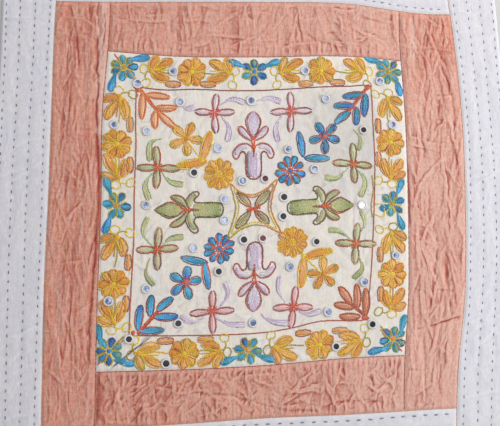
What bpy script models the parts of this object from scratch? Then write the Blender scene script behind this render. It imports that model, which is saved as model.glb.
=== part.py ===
"""Ralli quilt lying flat: an embroidered panel in a coral frame, with a quilted white border.

Metres, +Z up. The origin is the middle of the quilt's outline, on the surface that it lies on.
+X runs to the quilt's right and +Y to its top. Tables give millimetres, as a tape would.
"""

import math
from collections import namedtuple

import bmesh
import bpy
import numpy as np

MM = 0.001

# Half sizes of the three squares as they were meant, from the middle of the quilt.
QUILT_HALF = 350
CORAL_HALF = 280
PANEL_HALF_WIDTH = 205
PANEL_HALF_LENGTH = 208

CLOTH_THICKNESS = 3.0    # Over the cloth with what is quilted under it
SEAM_GAP = 0.3           # Between neighbouring pieces
SEAM_DIP = 0.8           # How far the cloth goes down to a seam or hem
SEAM_ROLL = 9            # Width over which it goes down

QUILTING_ROWS = (8, 27, 46, 63)   # Rows of running stitch, from the coral frame outwards
QUILTING_DIP = 0.7                # Depth of the cloth at a row, below the ridges between rows

MIRROR_DIAMETER = 9
MIRROR_THICKNESS = 0.8
MIRROR_GAP = 0.3
MIRROR_SIDES = 12

STATION_STEP = 17.5      # Between grid lines along the seams
CORAL_CELLS = 9          # Cells across a coral strip

Seam = namedtuple("Seam", "lies_at drift")

# Each seam line: where it was meant to lie, and how far it wanders to the right of that at seven
# even stations, from the bottom of the quilt to its top.
UPRIGHT_SEAMS = (
    Seam(-QUILT_HALF, (-1, -2, -1, 0, 2, 5, 5)),
    Seam(-CORAL_HALF, (-4, -4, -4, -1, 1, 3, 8)),
    Seam(-PANEL_HALF_WIDTH, (-14, -13, -12, -9, -9, -1, 0)),
    Seam(PANEL_HALF_WIDTH, (-15, -14, -5, -3, -4, -10, -9)),
    Seam(CORAL_HALF, (-18, -13, 1, 5, 4, -5, -18)),
    Seam(QUILT_HALF, (-13, -7, -1, 2, -1, -7, -14)),
)

# The same for the level lines: how far each wanders up, at seven stations from left to right.
LEVEL_SEAMS = (
    Seam(-QUILT_HALF, (0, -1, 0, 3, 4, 5, 5)),
    Seam(-CORAL_HALF, (-7, -7, -5, -1, 0, 3, 4)),
    Seam(-PANEL_HALF_LENGTH, (-8, -8, -8, -5, 2, 4, 4)),
    Seam(PANEL_HALF_LENGTH, (-3, -3, -8, -5, 0, -6, -6)),
    Seam(CORAL_HALF, (-12, -10, -5, 0, 3, -7, -1)),
    Seam(QUILT_HALF, (-8, -5, -2, 1, -2, -4, -2)),
)

Crease = namedtuple("Crease", "start end rise half_width")

# The main creases, as they lie on the quilt: a soft ridge or, with a negative rise, a trough.
CREASES = (
    Crease((-226, 272), (-225, 232), 1.3, 11),     # Pleat beside the upper left of the panel
    Crease((-225, 232), (-220, 150), 1.1, 11),
    Crease((-220, 150), (-221, 40), 0.9, 10),
    Crease((-223, 20), (-236, -150), -0.9, 11),    # Its lower half, turned into a trough
    Crease((-250, 238), (-247, 190), -0.9, 10),
    Crease((-247, 190), (-240, 128), 0.9, 10),
    Crease((-281, -130), (-272, -200), 1.0, 11),
    Crease((-272, -200), (-260, -268), 1.0, 11),
    Crease((256, 212), (276, 118), 0.9, 11),       # Right strip
    Crease((276, 118), (280, 60), -0.8, 10),
    Crease((243, -42), (252, -60), -0.9, 11),
    Crease((252, -60), (234, -152), -0.8, 11),
    Crease((230, -162), (281, -147), -1.1, 13),    # The sharp slanting crease
    Crease((232, -185), (228, -262), 0.8, 11),
    Crease((60, 262), (128, 258), 0.8, 13),        # Top strip
    Crease((-120, 250), (-30, 244), -0.7, 13),
    Crease((-60, -232), (-64, -270), 0.8, 12),     # Bottom strip
    Crease((90, -226), (94, -262), 0.7, 12),
    Crease((-206, -206), (-150, -170), 1.2, 13),   # Across the panel's lower left corner
    Crease((-120, -196), (-40, -190), -0.6, 14),
)

# Mirrors, by the ring that they belong to, at the quilt's four quarters as the seams were meant.
MIRRORS = (
    # upper left    upper right   lower right   lower left
    ((-22, 38), (8, 40), (5, -40), (-20, -41)),
    ((-46, 14), (33, 14), (32, -12), (-46, -14)),
    ((-54, 83), (40, 79), (42, -80), (-52, -82)),
    ((-86, 50), (75, 50), (77, -49), (-85, -50)),
    ((-105, 145), (93, 147), (95, -144), (-102, -148)),
    ((-147, 104), (144, 104), (143, -106), (-144, -103)),
    ((-10, 147), (140, -1), (-5, -151), (-148, 6)),
    ((-162, 167), (171, 175), (156, -164), (-164, -167)),
    ((-116, 187), (65, 187), (108, -191), (-116, -199)),
    ((-189, 110), (185, 114), (186, -70), (-191, -119)),
)


def clear_scene():
    for obj in list(bpy.data.objects):
        bpy.data.objects.remove(obj, do_unlink=True)


def make_material(name, colour, roughness, metallic=0.0):
    material = bpy.data.materials.new(name)
    material.use_nodes = True
    shader = material.node_tree.nodes["Principled BSDF"]
    shader.inputs["Base Color"].default_value = (*colour, 1.0)
    shader.inputs["Roughness"].default_value = roughness
    shader.inputs["Metallic"].default_value = metallic
    material.diffuse_color = (*colour, 1.0)
    return material


# How the cloth lies


def drift_at(drift, share):
    """The drift at a share, 0 to 1, of the way along a line: a smooth curve through its stations."""
    last = len(drift) - 1
    station = min(int(share * last), last - 1)
    along = share * last - station
    before = drift[max(station - 1, 0)]
    here = drift[station]
    ahead = drift[station + 1]
    beyond = drift[min(station + 2, last)]
    slope = ahead - before
    bend = 2 * before - 5 * here + 4 * ahead - beyond
    twist = 3 * here - before - 3 * ahead + beyond
    return here + (slope * along + bend * along ** 2 + twist * along ** 3) / 2


def settle(value, seams, crossing):
    """Where a line that was meant to lie at value really falls, at a place along the seams."""
    share = min(max((crossing + QUILT_HALF) / (2 * QUILT_HALF), 0.0), 1.0)
    meant = [seam.lies_at for seam in seams]
    real = [seam.lies_at + drift_at(seam.drift, share) for seam in seams]
    return float(np.interp(value, meant, real))


def lay(across, along):
    """The place on the surface of a point of the quilt, given where it was meant to be."""
    x = across
    y = along
    for _ in range(5):
        x = settle(across, UPRIGHT_SEAMS, y)
        y = settle(along, LEVEL_SEAMS, x)
    return x, y


def smooth(value):
    value = min(max(value, 0.0), 1.0)
    return value * value * (3 - 2 * value)


def crease_rise(x, y):
    """The height that the main creases add at a place on the surface."""
    rise = 0.0
    for crease in CREASES:
        run = (crease.end[0] - crease.start[0], crease.end[1] - crease.start[1])
        length = math.hypot(*run)
        unit = (run[0] / length, run[1] / length)
        away = (x - crease.start[0], y - crease.start[1])
        beside = away[0] * unit[1] - away[1] * unit[0]
        forward = away[0] * unit[0] + away[1] * unit[1]
        past = max(-forward, forward - length, 0)
        rise += crease.rise * smooth(1 - math.hypot(beside, past) / crease.half_width)
    return rise


def crinkle(across, along):
    """Soft crinkles that run along a coral strip, given the distances across it and along it."""
    wander = 5 * math.sin(along / 31) + 3 * math.sin(along / 13 + 1)
    return 0.3 * math.sin((across + wander) / 4.1) + 0.2 * math.sin(along / 9.5 + across / 17)


def pucker(x, y):
    """The shallow puckers that the embroidery draws up in the panel."""
    return 0.25 * math.sin(x / 17 + 0.6 * math.sin(y / 23)) * math.sin(y / 19 + 0.5 * math.sin(x / 29))


def quilting(outward, along):
    """The depth below the ridges of the border, at a distance out from the coral frame."""
    rows = QUILTING_ROWS
    nearest = min(abs(outward - row) for row in rows)
    half_pitch = (rows[1] - rows[0]) / 2
    trough = 1 - smooth(nearest / half_pitch)
    return -QUILTING_DIP * trough + 0.15 * math.sin(along / 21 + outward / 9)


# Sheets of cloth


def stations(low, high):
    """Grid lines along a seam. Neighbours share them, so that their edges bend at the same places."""
    count = round(QUILT_HALF / STATION_STEP)
    inner = [number * STATION_STEP for number in range(-count, count + 1)]
    return [low, *(place for place in inner if low + SEAM_ROLL / 2 < place < high - SEAM_ROLL / 2), high]


def across_coral(side, panel_half):
    """Grid lines across a coral strip, on the side -1 or 1 of the quilt, from the panel outwards."""
    return sorted(side * np.linspace(panel_half, CORAL_HALF, CORAL_CELLS + 1))


def across_border(side):
    """Grid lines across a border strip, on the side -1 or 1 of the quilt.

    They are its seam and its hem, its rows of stitch and the ridges between the rows.
    """
    rows = QUILTING_ROWS
    ridges = [(first + second) / 2 for first, second in zip(rows, rows[1:])]
    distances = [0, rows[0] / 2, *rows, *ridges, QUILT_HALF - CORAL_HALF]
    return sorted(side * (CORAL_HALF + distance) for distance in distances)


def make_sheet(name, columns, rows, relief, material):
    """A sheet with a modelled top, a flat underside on the surface and straight edges.

    columns and rows are the positions of its grid lines, as the seams were meant. relief gives the
    height of the top above the plain thickness, from a point as meant and as it lies.
    """
    mesh = bpy.data.meshes.new(name)
    sheet = bmesh.new()
    bmesh.ops.create_grid(sheet, x_segments=len(columns) - 1, y_segments=len(rows) - 1, size=0.5)
    inset = SEAM_GAP / 2
    for vertex in sheet.verts:
        column = round((vertex.co.x + 0.5) * (len(columns) - 1))
        row = round((vertex.co.y + 0.5) * (len(rows) - 1))
        across = keep_inside(columns[column], columns, inset)
        along = keep_inside(rows[row], rows, inset)
        x, y = lay(across, along)
        edge = min(across - columns[0], columns[-1] - across, along - rows[0], rows[-1] - along)
        dip = SEAM_DIP * (1 - smooth(edge / SEAM_ROLL))
        settled = smooth((edge + SEAM_ROLL / 3) / SEAM_ROLL)
        height = CLOTH_THICKNESS - dip + settled * (relief(across, along) + crease_rise(x, y))
        vertex.co = (x * MM, y * MM, height * MM)
    close_underneath(sheet)
    sheet.to_mesh(mesh)
    sheet.free()
    mesh.materials.append(material)
    obj = bpy.data.objects.new(name, mesh)
    bpy.context.collection.objects.link(obj)
    return obj


def keep_inside(value, lines, inset):
    """Holds the edge of a piece back from a seam, but not from the hem of the quilt."""
    if abs(value) == QUILT_HALF:
        return value
    return min(max(value, lines[0] + inset), lines[-1] - inset)


def close_underneath(sheet):
    """Carries the rim straight down to the surface and closes it there with one flat face."""
    rim = [edge for edge in sheet.edges if edge.is_boundary]
    walls = bmesh.ops.extrude_edge_only(sheet, edges=rim)["geom"]
    for item in walls:
        if isinstance(item, bmesh.types.BMVert):
            item.co.z = 0.0
    foot = [item for item in walls if isinstance(item, bmesh.types.BMEdge) and item.is_boundary]
    bmesh.ops.edgeloop_fill(sheet, edges=foot)
    bmesh.ops.recalc_face_normals(sheet, faces=sheet.faces)


def make_panel():
    cotton = make_material("cotton_cream", (0.66, 0.64, 0.60), 0.9)
    columns = stations(-PANEL_HALF_WIDTH, PANEL_HALF_WIDTH)
    rows = stations(-PANEL_HALF_LENGTH, PANEL_HALF_LENGTH)
    return make_sheet("panel_embroidered", columns, rows, pucker, cotton)


def make_coral_strips():
    cotton = make_material("cotton_coral", (0.62, 0.27, 0.20), 0.92)

    def end_crinkle(across, along):
        return crinkle(along, across)

    for side, at_side, at_end in ((-1, "left", "bottom"), (1, "right", "top")):
        across = across_coral(side, PANEL_HALF_WIDTH)
        lengthwise = stations(-CORAL_HALF, CORAL_HALF)
        make_sheet(f"coral_strip_{at_side}", across, lengthwise, crinkle, cotton)
        across = across_coral(side, PANEL_HALF_LENGTH)
        lengthwise = stations(-PANEL_HALF_WIDTH, PANEL_HALF_WIDTH)
        make_sheet(f"coral_strip_{at_end}", lengthwise, across, end_crinkle, cotton)


def make_white_strips():
    cotton = make_material("cotton_white", (0.72, 0.73, 0.77), 0.9)

    def side_relief(across, along):
        return quilting(abs(across) - CORAL_HALF, along)

    def end_relief(across, along):
        return quilting(abs(along) - CORAL_HALF, across)

    for side, at_side, at_end in ((-1, "left", "bottom"), (1, "right", "top")):
        across = across_border(side)
        lengthwise = stations(-QUILT_HALF, QUILT_HALF)
        make_sheet(f"white_strip_{at_side}", across, lengthwise, side_relief, cotton)
        lengthwise = stations(-CORAL_HALF, CORAL_HALF)
        make_sheet(f"white_strip_{at_end}", lengthwise, across, end_relief, cotton)


# Mirrors


def height_under(panel, x, y, radius):
    """The highest corner of the panel's faces that a disc at this place could touch."""
    highest = 0.0
    for face in panel.data.polygons:
        corners = [panel.data.vertices[index].co / MM for index in face.vertices]
        wide = [corner.x - x for corner in corners]
        long = [corner.y - y for corner in corners]
        if min(wide) < radius and max(wide) > -radius and min(long) < radius and max(long) > -radius:
            highest = max(highest, *(corner.z for corner in corners))
    return highest


def make_mirrors(panel):
    glass = make_material("mirror_glass", (0.55, 0.57, 0.60), 0.08, metallic=1.0)
    places = [place for ring in MIRRORS for place in ring]
    for number, (across, along) in enumerate(places, start=1):
        x, y = lay(across, along)
        rest = height_under(panel, x, y, MIRROR_DIAMETER / 2) + MIRROR_GAP
        name = f"mirror_{number:02d}"
        mesh = bpy.data.meshes.new(name)
        disc = bmesh.new()
        bmesh.ops.create_cone(
            disc,
            cap_ends=True,
            segments=MIRROR_SIDES,
            radius1=MIRROR_DIAMETER / 2 * MM,
            radius2=MIRROR_DIAMETER / 2 * MM,
            depth=MIRROR_THICKNESS * MM,
        )
        disc.to_mesh(mesh)
        disc.free()
        mesh.materials.append(glass)
        mirror = bpy.data.objects.new(name, mesh)
        mirror.location = (x * MM, y * MM, (rest + MIRROR_THICKNESS / 2) * MM)
        bpy.context.collection.objects.link(mirror)


clear_scene()
panel_object = make_panel()
make_coral_strips()
make_white_strips()
make_mirrors(panel_object)
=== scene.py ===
import math
import bmesh
import bpy
import numpy as np
from mathutils import Matrix, Vector


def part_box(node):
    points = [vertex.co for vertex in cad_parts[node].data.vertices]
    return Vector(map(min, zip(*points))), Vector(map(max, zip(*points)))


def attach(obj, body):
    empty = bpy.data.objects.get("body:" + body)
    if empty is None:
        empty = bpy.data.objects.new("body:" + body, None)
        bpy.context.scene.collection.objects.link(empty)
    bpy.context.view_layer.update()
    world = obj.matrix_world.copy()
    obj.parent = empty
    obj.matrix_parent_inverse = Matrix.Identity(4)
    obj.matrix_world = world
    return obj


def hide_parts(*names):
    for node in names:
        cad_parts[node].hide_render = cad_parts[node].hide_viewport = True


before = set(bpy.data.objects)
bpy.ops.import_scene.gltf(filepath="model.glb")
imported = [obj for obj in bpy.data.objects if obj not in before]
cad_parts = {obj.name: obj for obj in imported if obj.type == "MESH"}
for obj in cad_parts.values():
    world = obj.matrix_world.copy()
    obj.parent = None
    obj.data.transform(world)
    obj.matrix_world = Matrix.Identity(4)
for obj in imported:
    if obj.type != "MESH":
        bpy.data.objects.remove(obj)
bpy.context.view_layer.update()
mm = 0.001
dice = np.random.default_rng(1403)  # every uneven thing is drawn from here, so each run is the same
print("frame loaded with", len(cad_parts), "nodes")


def addObject(name, data):
    made = bpy.data.objects.new(name, data)
    bpy.context.scene.collection.objects.link(made)
    return made


# Camera and studio light

cameraAt = {"place": (-0.110, -0.068, 0.804), "tipX": 4.05, "tipY": -6.50, "roll": 0.23, "angle": 45.0}

cameraData = bpy.data.cameras.new("camera")
cameraData.sensor_fit = "HORIZONTAL"
cameraData.angle = math.radians(cameraAt["angle"])
cameraData.clip_start = 0.01
camera = addObject("camera", cameraData)
turn = Matrix.Rotation(math.radians(cameraAt["tipX"]), 4, "X")
turn = turn @ Matrix.Rotation(math.radians(cameraAt["tipY"]), 4, "Y")
turn = turn @ Matrix.Rotation(math.radians(cameraAt["roll"]), 4, "Z")
camera.matrix_world = Matrix.Translation(cameraAt["place"]) @ turn
bpy.context.scene.camera = camera

lampColour = (1.0, 0.99, 0.98)
lamps = (
    # name, place, size, watts
    ("window_right", (1.85, 0.20, 0.92), 0.8, 26),
    ("window_far", (0.30, 1.6, 0.8), 0.8, 7),
    ("ceiling", (0.1, 0.1, 2.2), 2.0, 14),
)
for name, place, size, watts in lamps:
    lampData = bpy.data.lights.new(name, "AREA")
    lampData.shape = "DISK"
    lampData.size = size
    lampData.energy = watts
    lampData.color = lampColour
    lamp = addObject(name, lampData)
    facing = Vector(place).to_track_quat("Z", "Y")       # it looks at the middle of the quilt
    lamp.matrix_world = Matrix.Translation(place) @ facing.to_matrix().to_4x4()

sky = {"colour": (0.95, 0.96, 1.0, 1), "strength": 0.32}
world = bpy.data.worlds.new("studio")
bpy.context.scene.world = world
world.use_nodes = True
world.node_tree.nodes["Background"].inputs["Color"].default_value = sky["colour"]
world.node_tree.nodes["Background"].inputs["Strength"].default_value = sky["strength"]
bpy.context.scene.view_settings.view_transform = "Standard"
print("camera and lights set")


# Shader maths

class Wire:
    # a socket that can be added, multiplied and compared like a number
    def __init__(self, tree, socket=None):
        self.tree = tree
        self.socket = socket

    def node(self, kind, settings=None, values=None, out=0):
        made = self.tree.nodes.new(kind)
        for key, value in (settings or {}).items():
            setattr(made, key, value)
        for key, value in (values or {}).items():
            if isinstance(value, Wire):
                self.tree.links.new(value.socket, made.inputs[key])
            else:
                made.inputs[key].default_value = value
        return Wire(self.tree, made.outputs[out])

    def sum(self, operation, *values, clamp=False):
        settings = {"operation": operation, "use_clamp": clamp}
        return self.node("ShaderNodeMath", settings, dict(enumerate(values)))

    def mix(self, factor, first, second, blend="MIX"):
        settings = {"data_type": "RGBA", "blend_type": blend, "clamp_factor": True}
        return self.node("ShaderNodeMix", settings, {0: factor, 6: first, 7: second}, out=2)

    def __add__(self, other):
        return self.sum("ADD", self, other)

    def __sub__(self, other):
        return self.sum("SUBTRACT", self, other)

    def __rsub__(self, other):
        return self.sum("SUBTRACT", other, self)

    def __mul__(self, other):
        return self.sum("MULTIPLY", self, other)

    def __pow__(self, other):
        return self.sum("POWER", self, other)

    __radd__ = __add__
    __rmul__ = __mul__


def dyed(colour):
    # a colour as seen on a dye card, 0 to 255, turned into light
    parts = [part / 255 for part in colour]
    return (*(part / 12.92 if part <= 0.04045 else ((part + 0.055) / 1.055) ** 2.4 for part in parts), 1.0)


def startMaterial(name, sheen=0.0):
    material = bpy.data.materials.new(name)
    material.use_nodes = True
    shader = material.node_tree.nodes["Principled BSDF"]
    if sheen:
        shader.inputs["Sheen Weight"].default_value = sheen
        shader.inputs["Sheen Roughness"].default_value = 0.5
    return material, Wire(material.node_tree), shader


def finishMaterial(wire, shader, values):
    for key, value in values.items():
        if isinstance(value, Wire):
            wire.tree.links.new(value.socket, shader.inputs[key])
        else:
            shader.inputs[key].default_value = value


# Cotton. The cloth map is in centimetres of cloth as it was cut, so weave and slubs follow the cloth.

# hollow, deep and ridge are also the colours of painted shade in hollows and folds and of painted highlight
# on ridges; sunk and crest say how much of each
cottons = {
    "cream": {
        "slot": "cotton_cream", "plain": (245, 238, 229), "warm": (249, 239, 215), "cool": (222, 221, 228),
        "aged": (243, 233, 219), "toneShift": (200, 198, 194), "ridge": (250, 247, 242),
        "hollow": (170, 160, 158), "deep": (112, 92, 80),
        "mottle": 0.75, "long": 0.35, "streak": 0.10, "crush": 0.16,
        "slub": 0.10, "pebble": 0.12, "sunk": 0.7, "crest": 0.25, "weave": 0.4, "crumple": 0.5},
    "coral": {
        "slot": "cotton_coral", "plain": (223, 151, 132), "warm": (232, 146, 118), "cool": (218, 172, 156),
        "aged": (208, 158, 120), "toneShift": (233, 195, 181), "ridge": (255, 216, 199),
        "hollow": (160, 60, 48), "deep": (150, 44, 34),
        "mottle": 0.8, "long": 1.0, "streak": 0.18, "crush": 0.5,
        "slub": 0.26, "pebble": 0.34, "sunk": 1.0, "crest": 0.28, "weave": 0.5, "crumple": 0.8},
    "white": {
        "slot": "cotton_white", "plain": (228, 226, 232), "warm": (234, 230, 228), "cool": (208, 209, 222),
        "aged": (226, 225, 224), "toneShift": (224, 224, 231), "ridge": (242, 240, 243),
        "hollow": (180, 178, 190), "deep": (150, 148, 162),
        "mottle": 0.6, "long": 0.5, "streak": 0.2, "crush": 0.22,
        "slub": 0.08, "pebble": 0.2, "sunk": 0.6, "crest": 0.8, "weave": 0.4, "crumple": 0.4},
}


def makeCotton(name, look):
    material, wire, shader = startMaterial(name, sheen=0.1)
    cloth = wire.node("ShaderNodeUVMap", {"uv_map": "cloth"})
    # painted shade where it is above zero and painted highlight where it is below, worked out from the
    # cloth's shape
    hollow = wire.node("ShaderNodeAttribute", {"attribute_name": "hollow"}, out=2)
    toneShift = wire.node("ShaderNodeAttribute", {"attribute_name": "toneShift"}, out=2)
    flat = {"noise_dimensions": "2D"}

    def stretched(source, across, along):
        return wire.node("ShaderNodeMapping", None, {0: source, 3: (across, along, 1.0)})

    def noise(across, along, detail, rough, twist=0.0):
        return wire.node("ShaderNodeTexNoise", flat, {
            "Vector": stretched(cloth, across, along), "Scale": 1.0, "Detail": detail, "Roughness": rough,
            "Distortion": twist})

    def spread(value, gain):
        return wire.sum("ADD", (value - 0.5) * gain, 0.5, clamp=True)

    def crushed(across, along, bend, thin):
        # crooked lines where the cloth was crushed: 1 on a line, 0 away from it
        swirl = wire.node("ShaderNodeTexNoise", flat, {"Vector": cloth, "Scale": 1.3, "Detail": 3.0}, out=1)
        moved = wire.node("ShaderNodeVectorMath", {"operation": "MULTIPLY_ADD"},
                          {0: swirl, 1: (bend, bend, 0), 2: cloth})
        apart = wire.node("ShaderNodeTexVoronoi", {"voronoi_dimensions": "2D", "feature": "DISTANCE_TO_EDGE"},
                          {"Vector": stretched(moved, across, along), "Scale": 1.0})
        return wire.sum("MAXIMUM", 1.0 - apart * thin, 0.0)

    def yarns(way):
        return wire.node("ShaderNodeTexWave", {"bands_direction": way}, {
            "Vector": cloth, "Scale": 5.6, "Distortion": 0.6, "Detail": 1.0, "Detail Scale": 2.0})

    slub = noise(9.0, 0.35, 3, 0.6) + noise(0.35, 9.0, 3, 0.6) - 1.0     # thick places in the yarns
    slub = slub + noise(3.1, 0.3, 2, 0.5) * 0.7 + noise(0.3, 3.1, 2, 0.5) * 0.7 - 0.7
    cloud = spread(noise(0.33, 0.25, 4, 0.6), 2.8)                       # uneven dye and washing
    blot = spread(noise(1.5, 0.8, 3, 0.55, 0.4), 2.6)
    stain = spread(noise(0.95, 0.6, 3, 0.6, 0.5), 3.4)
    band = spread(noise(1.1, 0.13, 3, 0.5, 0.3), 3.0)                    # long and soft, where it was folded
    streak = spread(noise(1.9, 0.45, 4, 0.62, 0.9), 3.2)                 # creases washed in along the length
    thin = spread(noise(5.5, 1.6, 3, 0.65, 0.8), 2.6)
    lines = crushed(0.75, 0.34, 0.9, 6.0)                                # sharp old creases, wide and fine
    fineLines = crushed(1.9, 0.95, 0.6, 4.0)
    pebble = (noise(3.0, 2.4, 2, 0.7, 0.3) * 2.6 - 1.3) * look["pebble"]     # the crinkle of washed cotton
    mottle, long, worn, crush = look["mottle"], look["long"], look["streak"], look["crush"]
    layers = (  # from the first dye to the last wear, with painted shade and highlight for creases, crinkle and hollows: how much of it, and which colour
        (cloud * mottle, "warm"),
        (blot * (mottle * 0.6), "cool"),
        ((stain - 0.45) * (mottle * 1.1), "aged"),
        ((band - 0.55) * (long * 1.1), "cool"),
        ((0.42 - band) * (long * 0.9), "warm"),
        (((streak - 0.5) * 1.1) * worn, "ridge"),
        (((0.5 - streak) * 0.9) * worn, "hollow"),
        ((thin - 0.62) * worn, "cool"),
        (((0.30 - thin) * 1.4) * worn, "hollow"),
        # painted shade in the crease lines, and a painted highlight on them where the blots lie
        (lines * lines * (crush * 0.6), "hollow"),
        (fineLines * (1.0 - blot) * (crush * 0.5), "hollow"),
        (blot * lines * (crush * 0.5), "ridge"),
        ((slub * 1.8) * look["slub"], "ridge"),
        ((slub * -1.8) * look["slub"], "hollow"),
        (toneShift * 0.7, "toneShift"),
        # painted highlight and shade for the crinkle
        (pebble, "ridge"),
        (pebble * -1.0, "hollow"),
        # painted shade in the hollows, darkest in the folds, and painted highlight on the ridges
        (hollow * look["sunk"], "hollow"),
        ((hollow - 1.0) * 2.5, "deep"),
        (hollow * -look["crest"], "ridge"),
    )
    colour = dyed(look["plain"])
    for share, tint in layers:
        colour = wire.mix(share, colour, dyed(look[tint]))
    folds = noise(2.6, 0.6, 3, 0.6, 0.6) * 2.0 - 1.0
    dents = noise(2.4, 1.9, 4, 0.62, 0.4) * 2.0 - 1.0
    creased = wire.sum("ABSOLUTE", folds) * -0.45 + wire.sum("ABSOLUTE", dents) * -0.45
    height = yarns("X") * yarns("Y") * (0.06 * look["weave"]) + slub * 0.06 + creased * look["crumple"]
    height = height - lines * (0.42 * crush) - fineLines * (0.22 * crush)
    bump = wire.node("ShaderNodeBump", None, {"Height": height, "Strength": 0.8, "Distance": 0.0012})
    finishMaterial(wire, shader, {"Base Color": colour, "Roughness": 0.84 + slub * 0.1, "Normal": bump,
                                  "Specular IOR Level": 0.25})
    return material


cottonMaterials = {kind: makeCotton("cotton_" + kind, look) for kind, look in cottons.items()}
print("cotton dyed in", len(cottonMaterials), "colours")


# How the cloth lies. Distances in millimetres, as the seams were meant and as they fell.

quilt = {"half": 350, "coralHalf": 280, "panelHalfWidth": 205, "panelHalfLength": 208, "thick": 3.0,
         "seamGap": 0.12, "seamDip": 1.0, "seamRoll": 4.0, "hemRound": 1.3}

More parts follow.
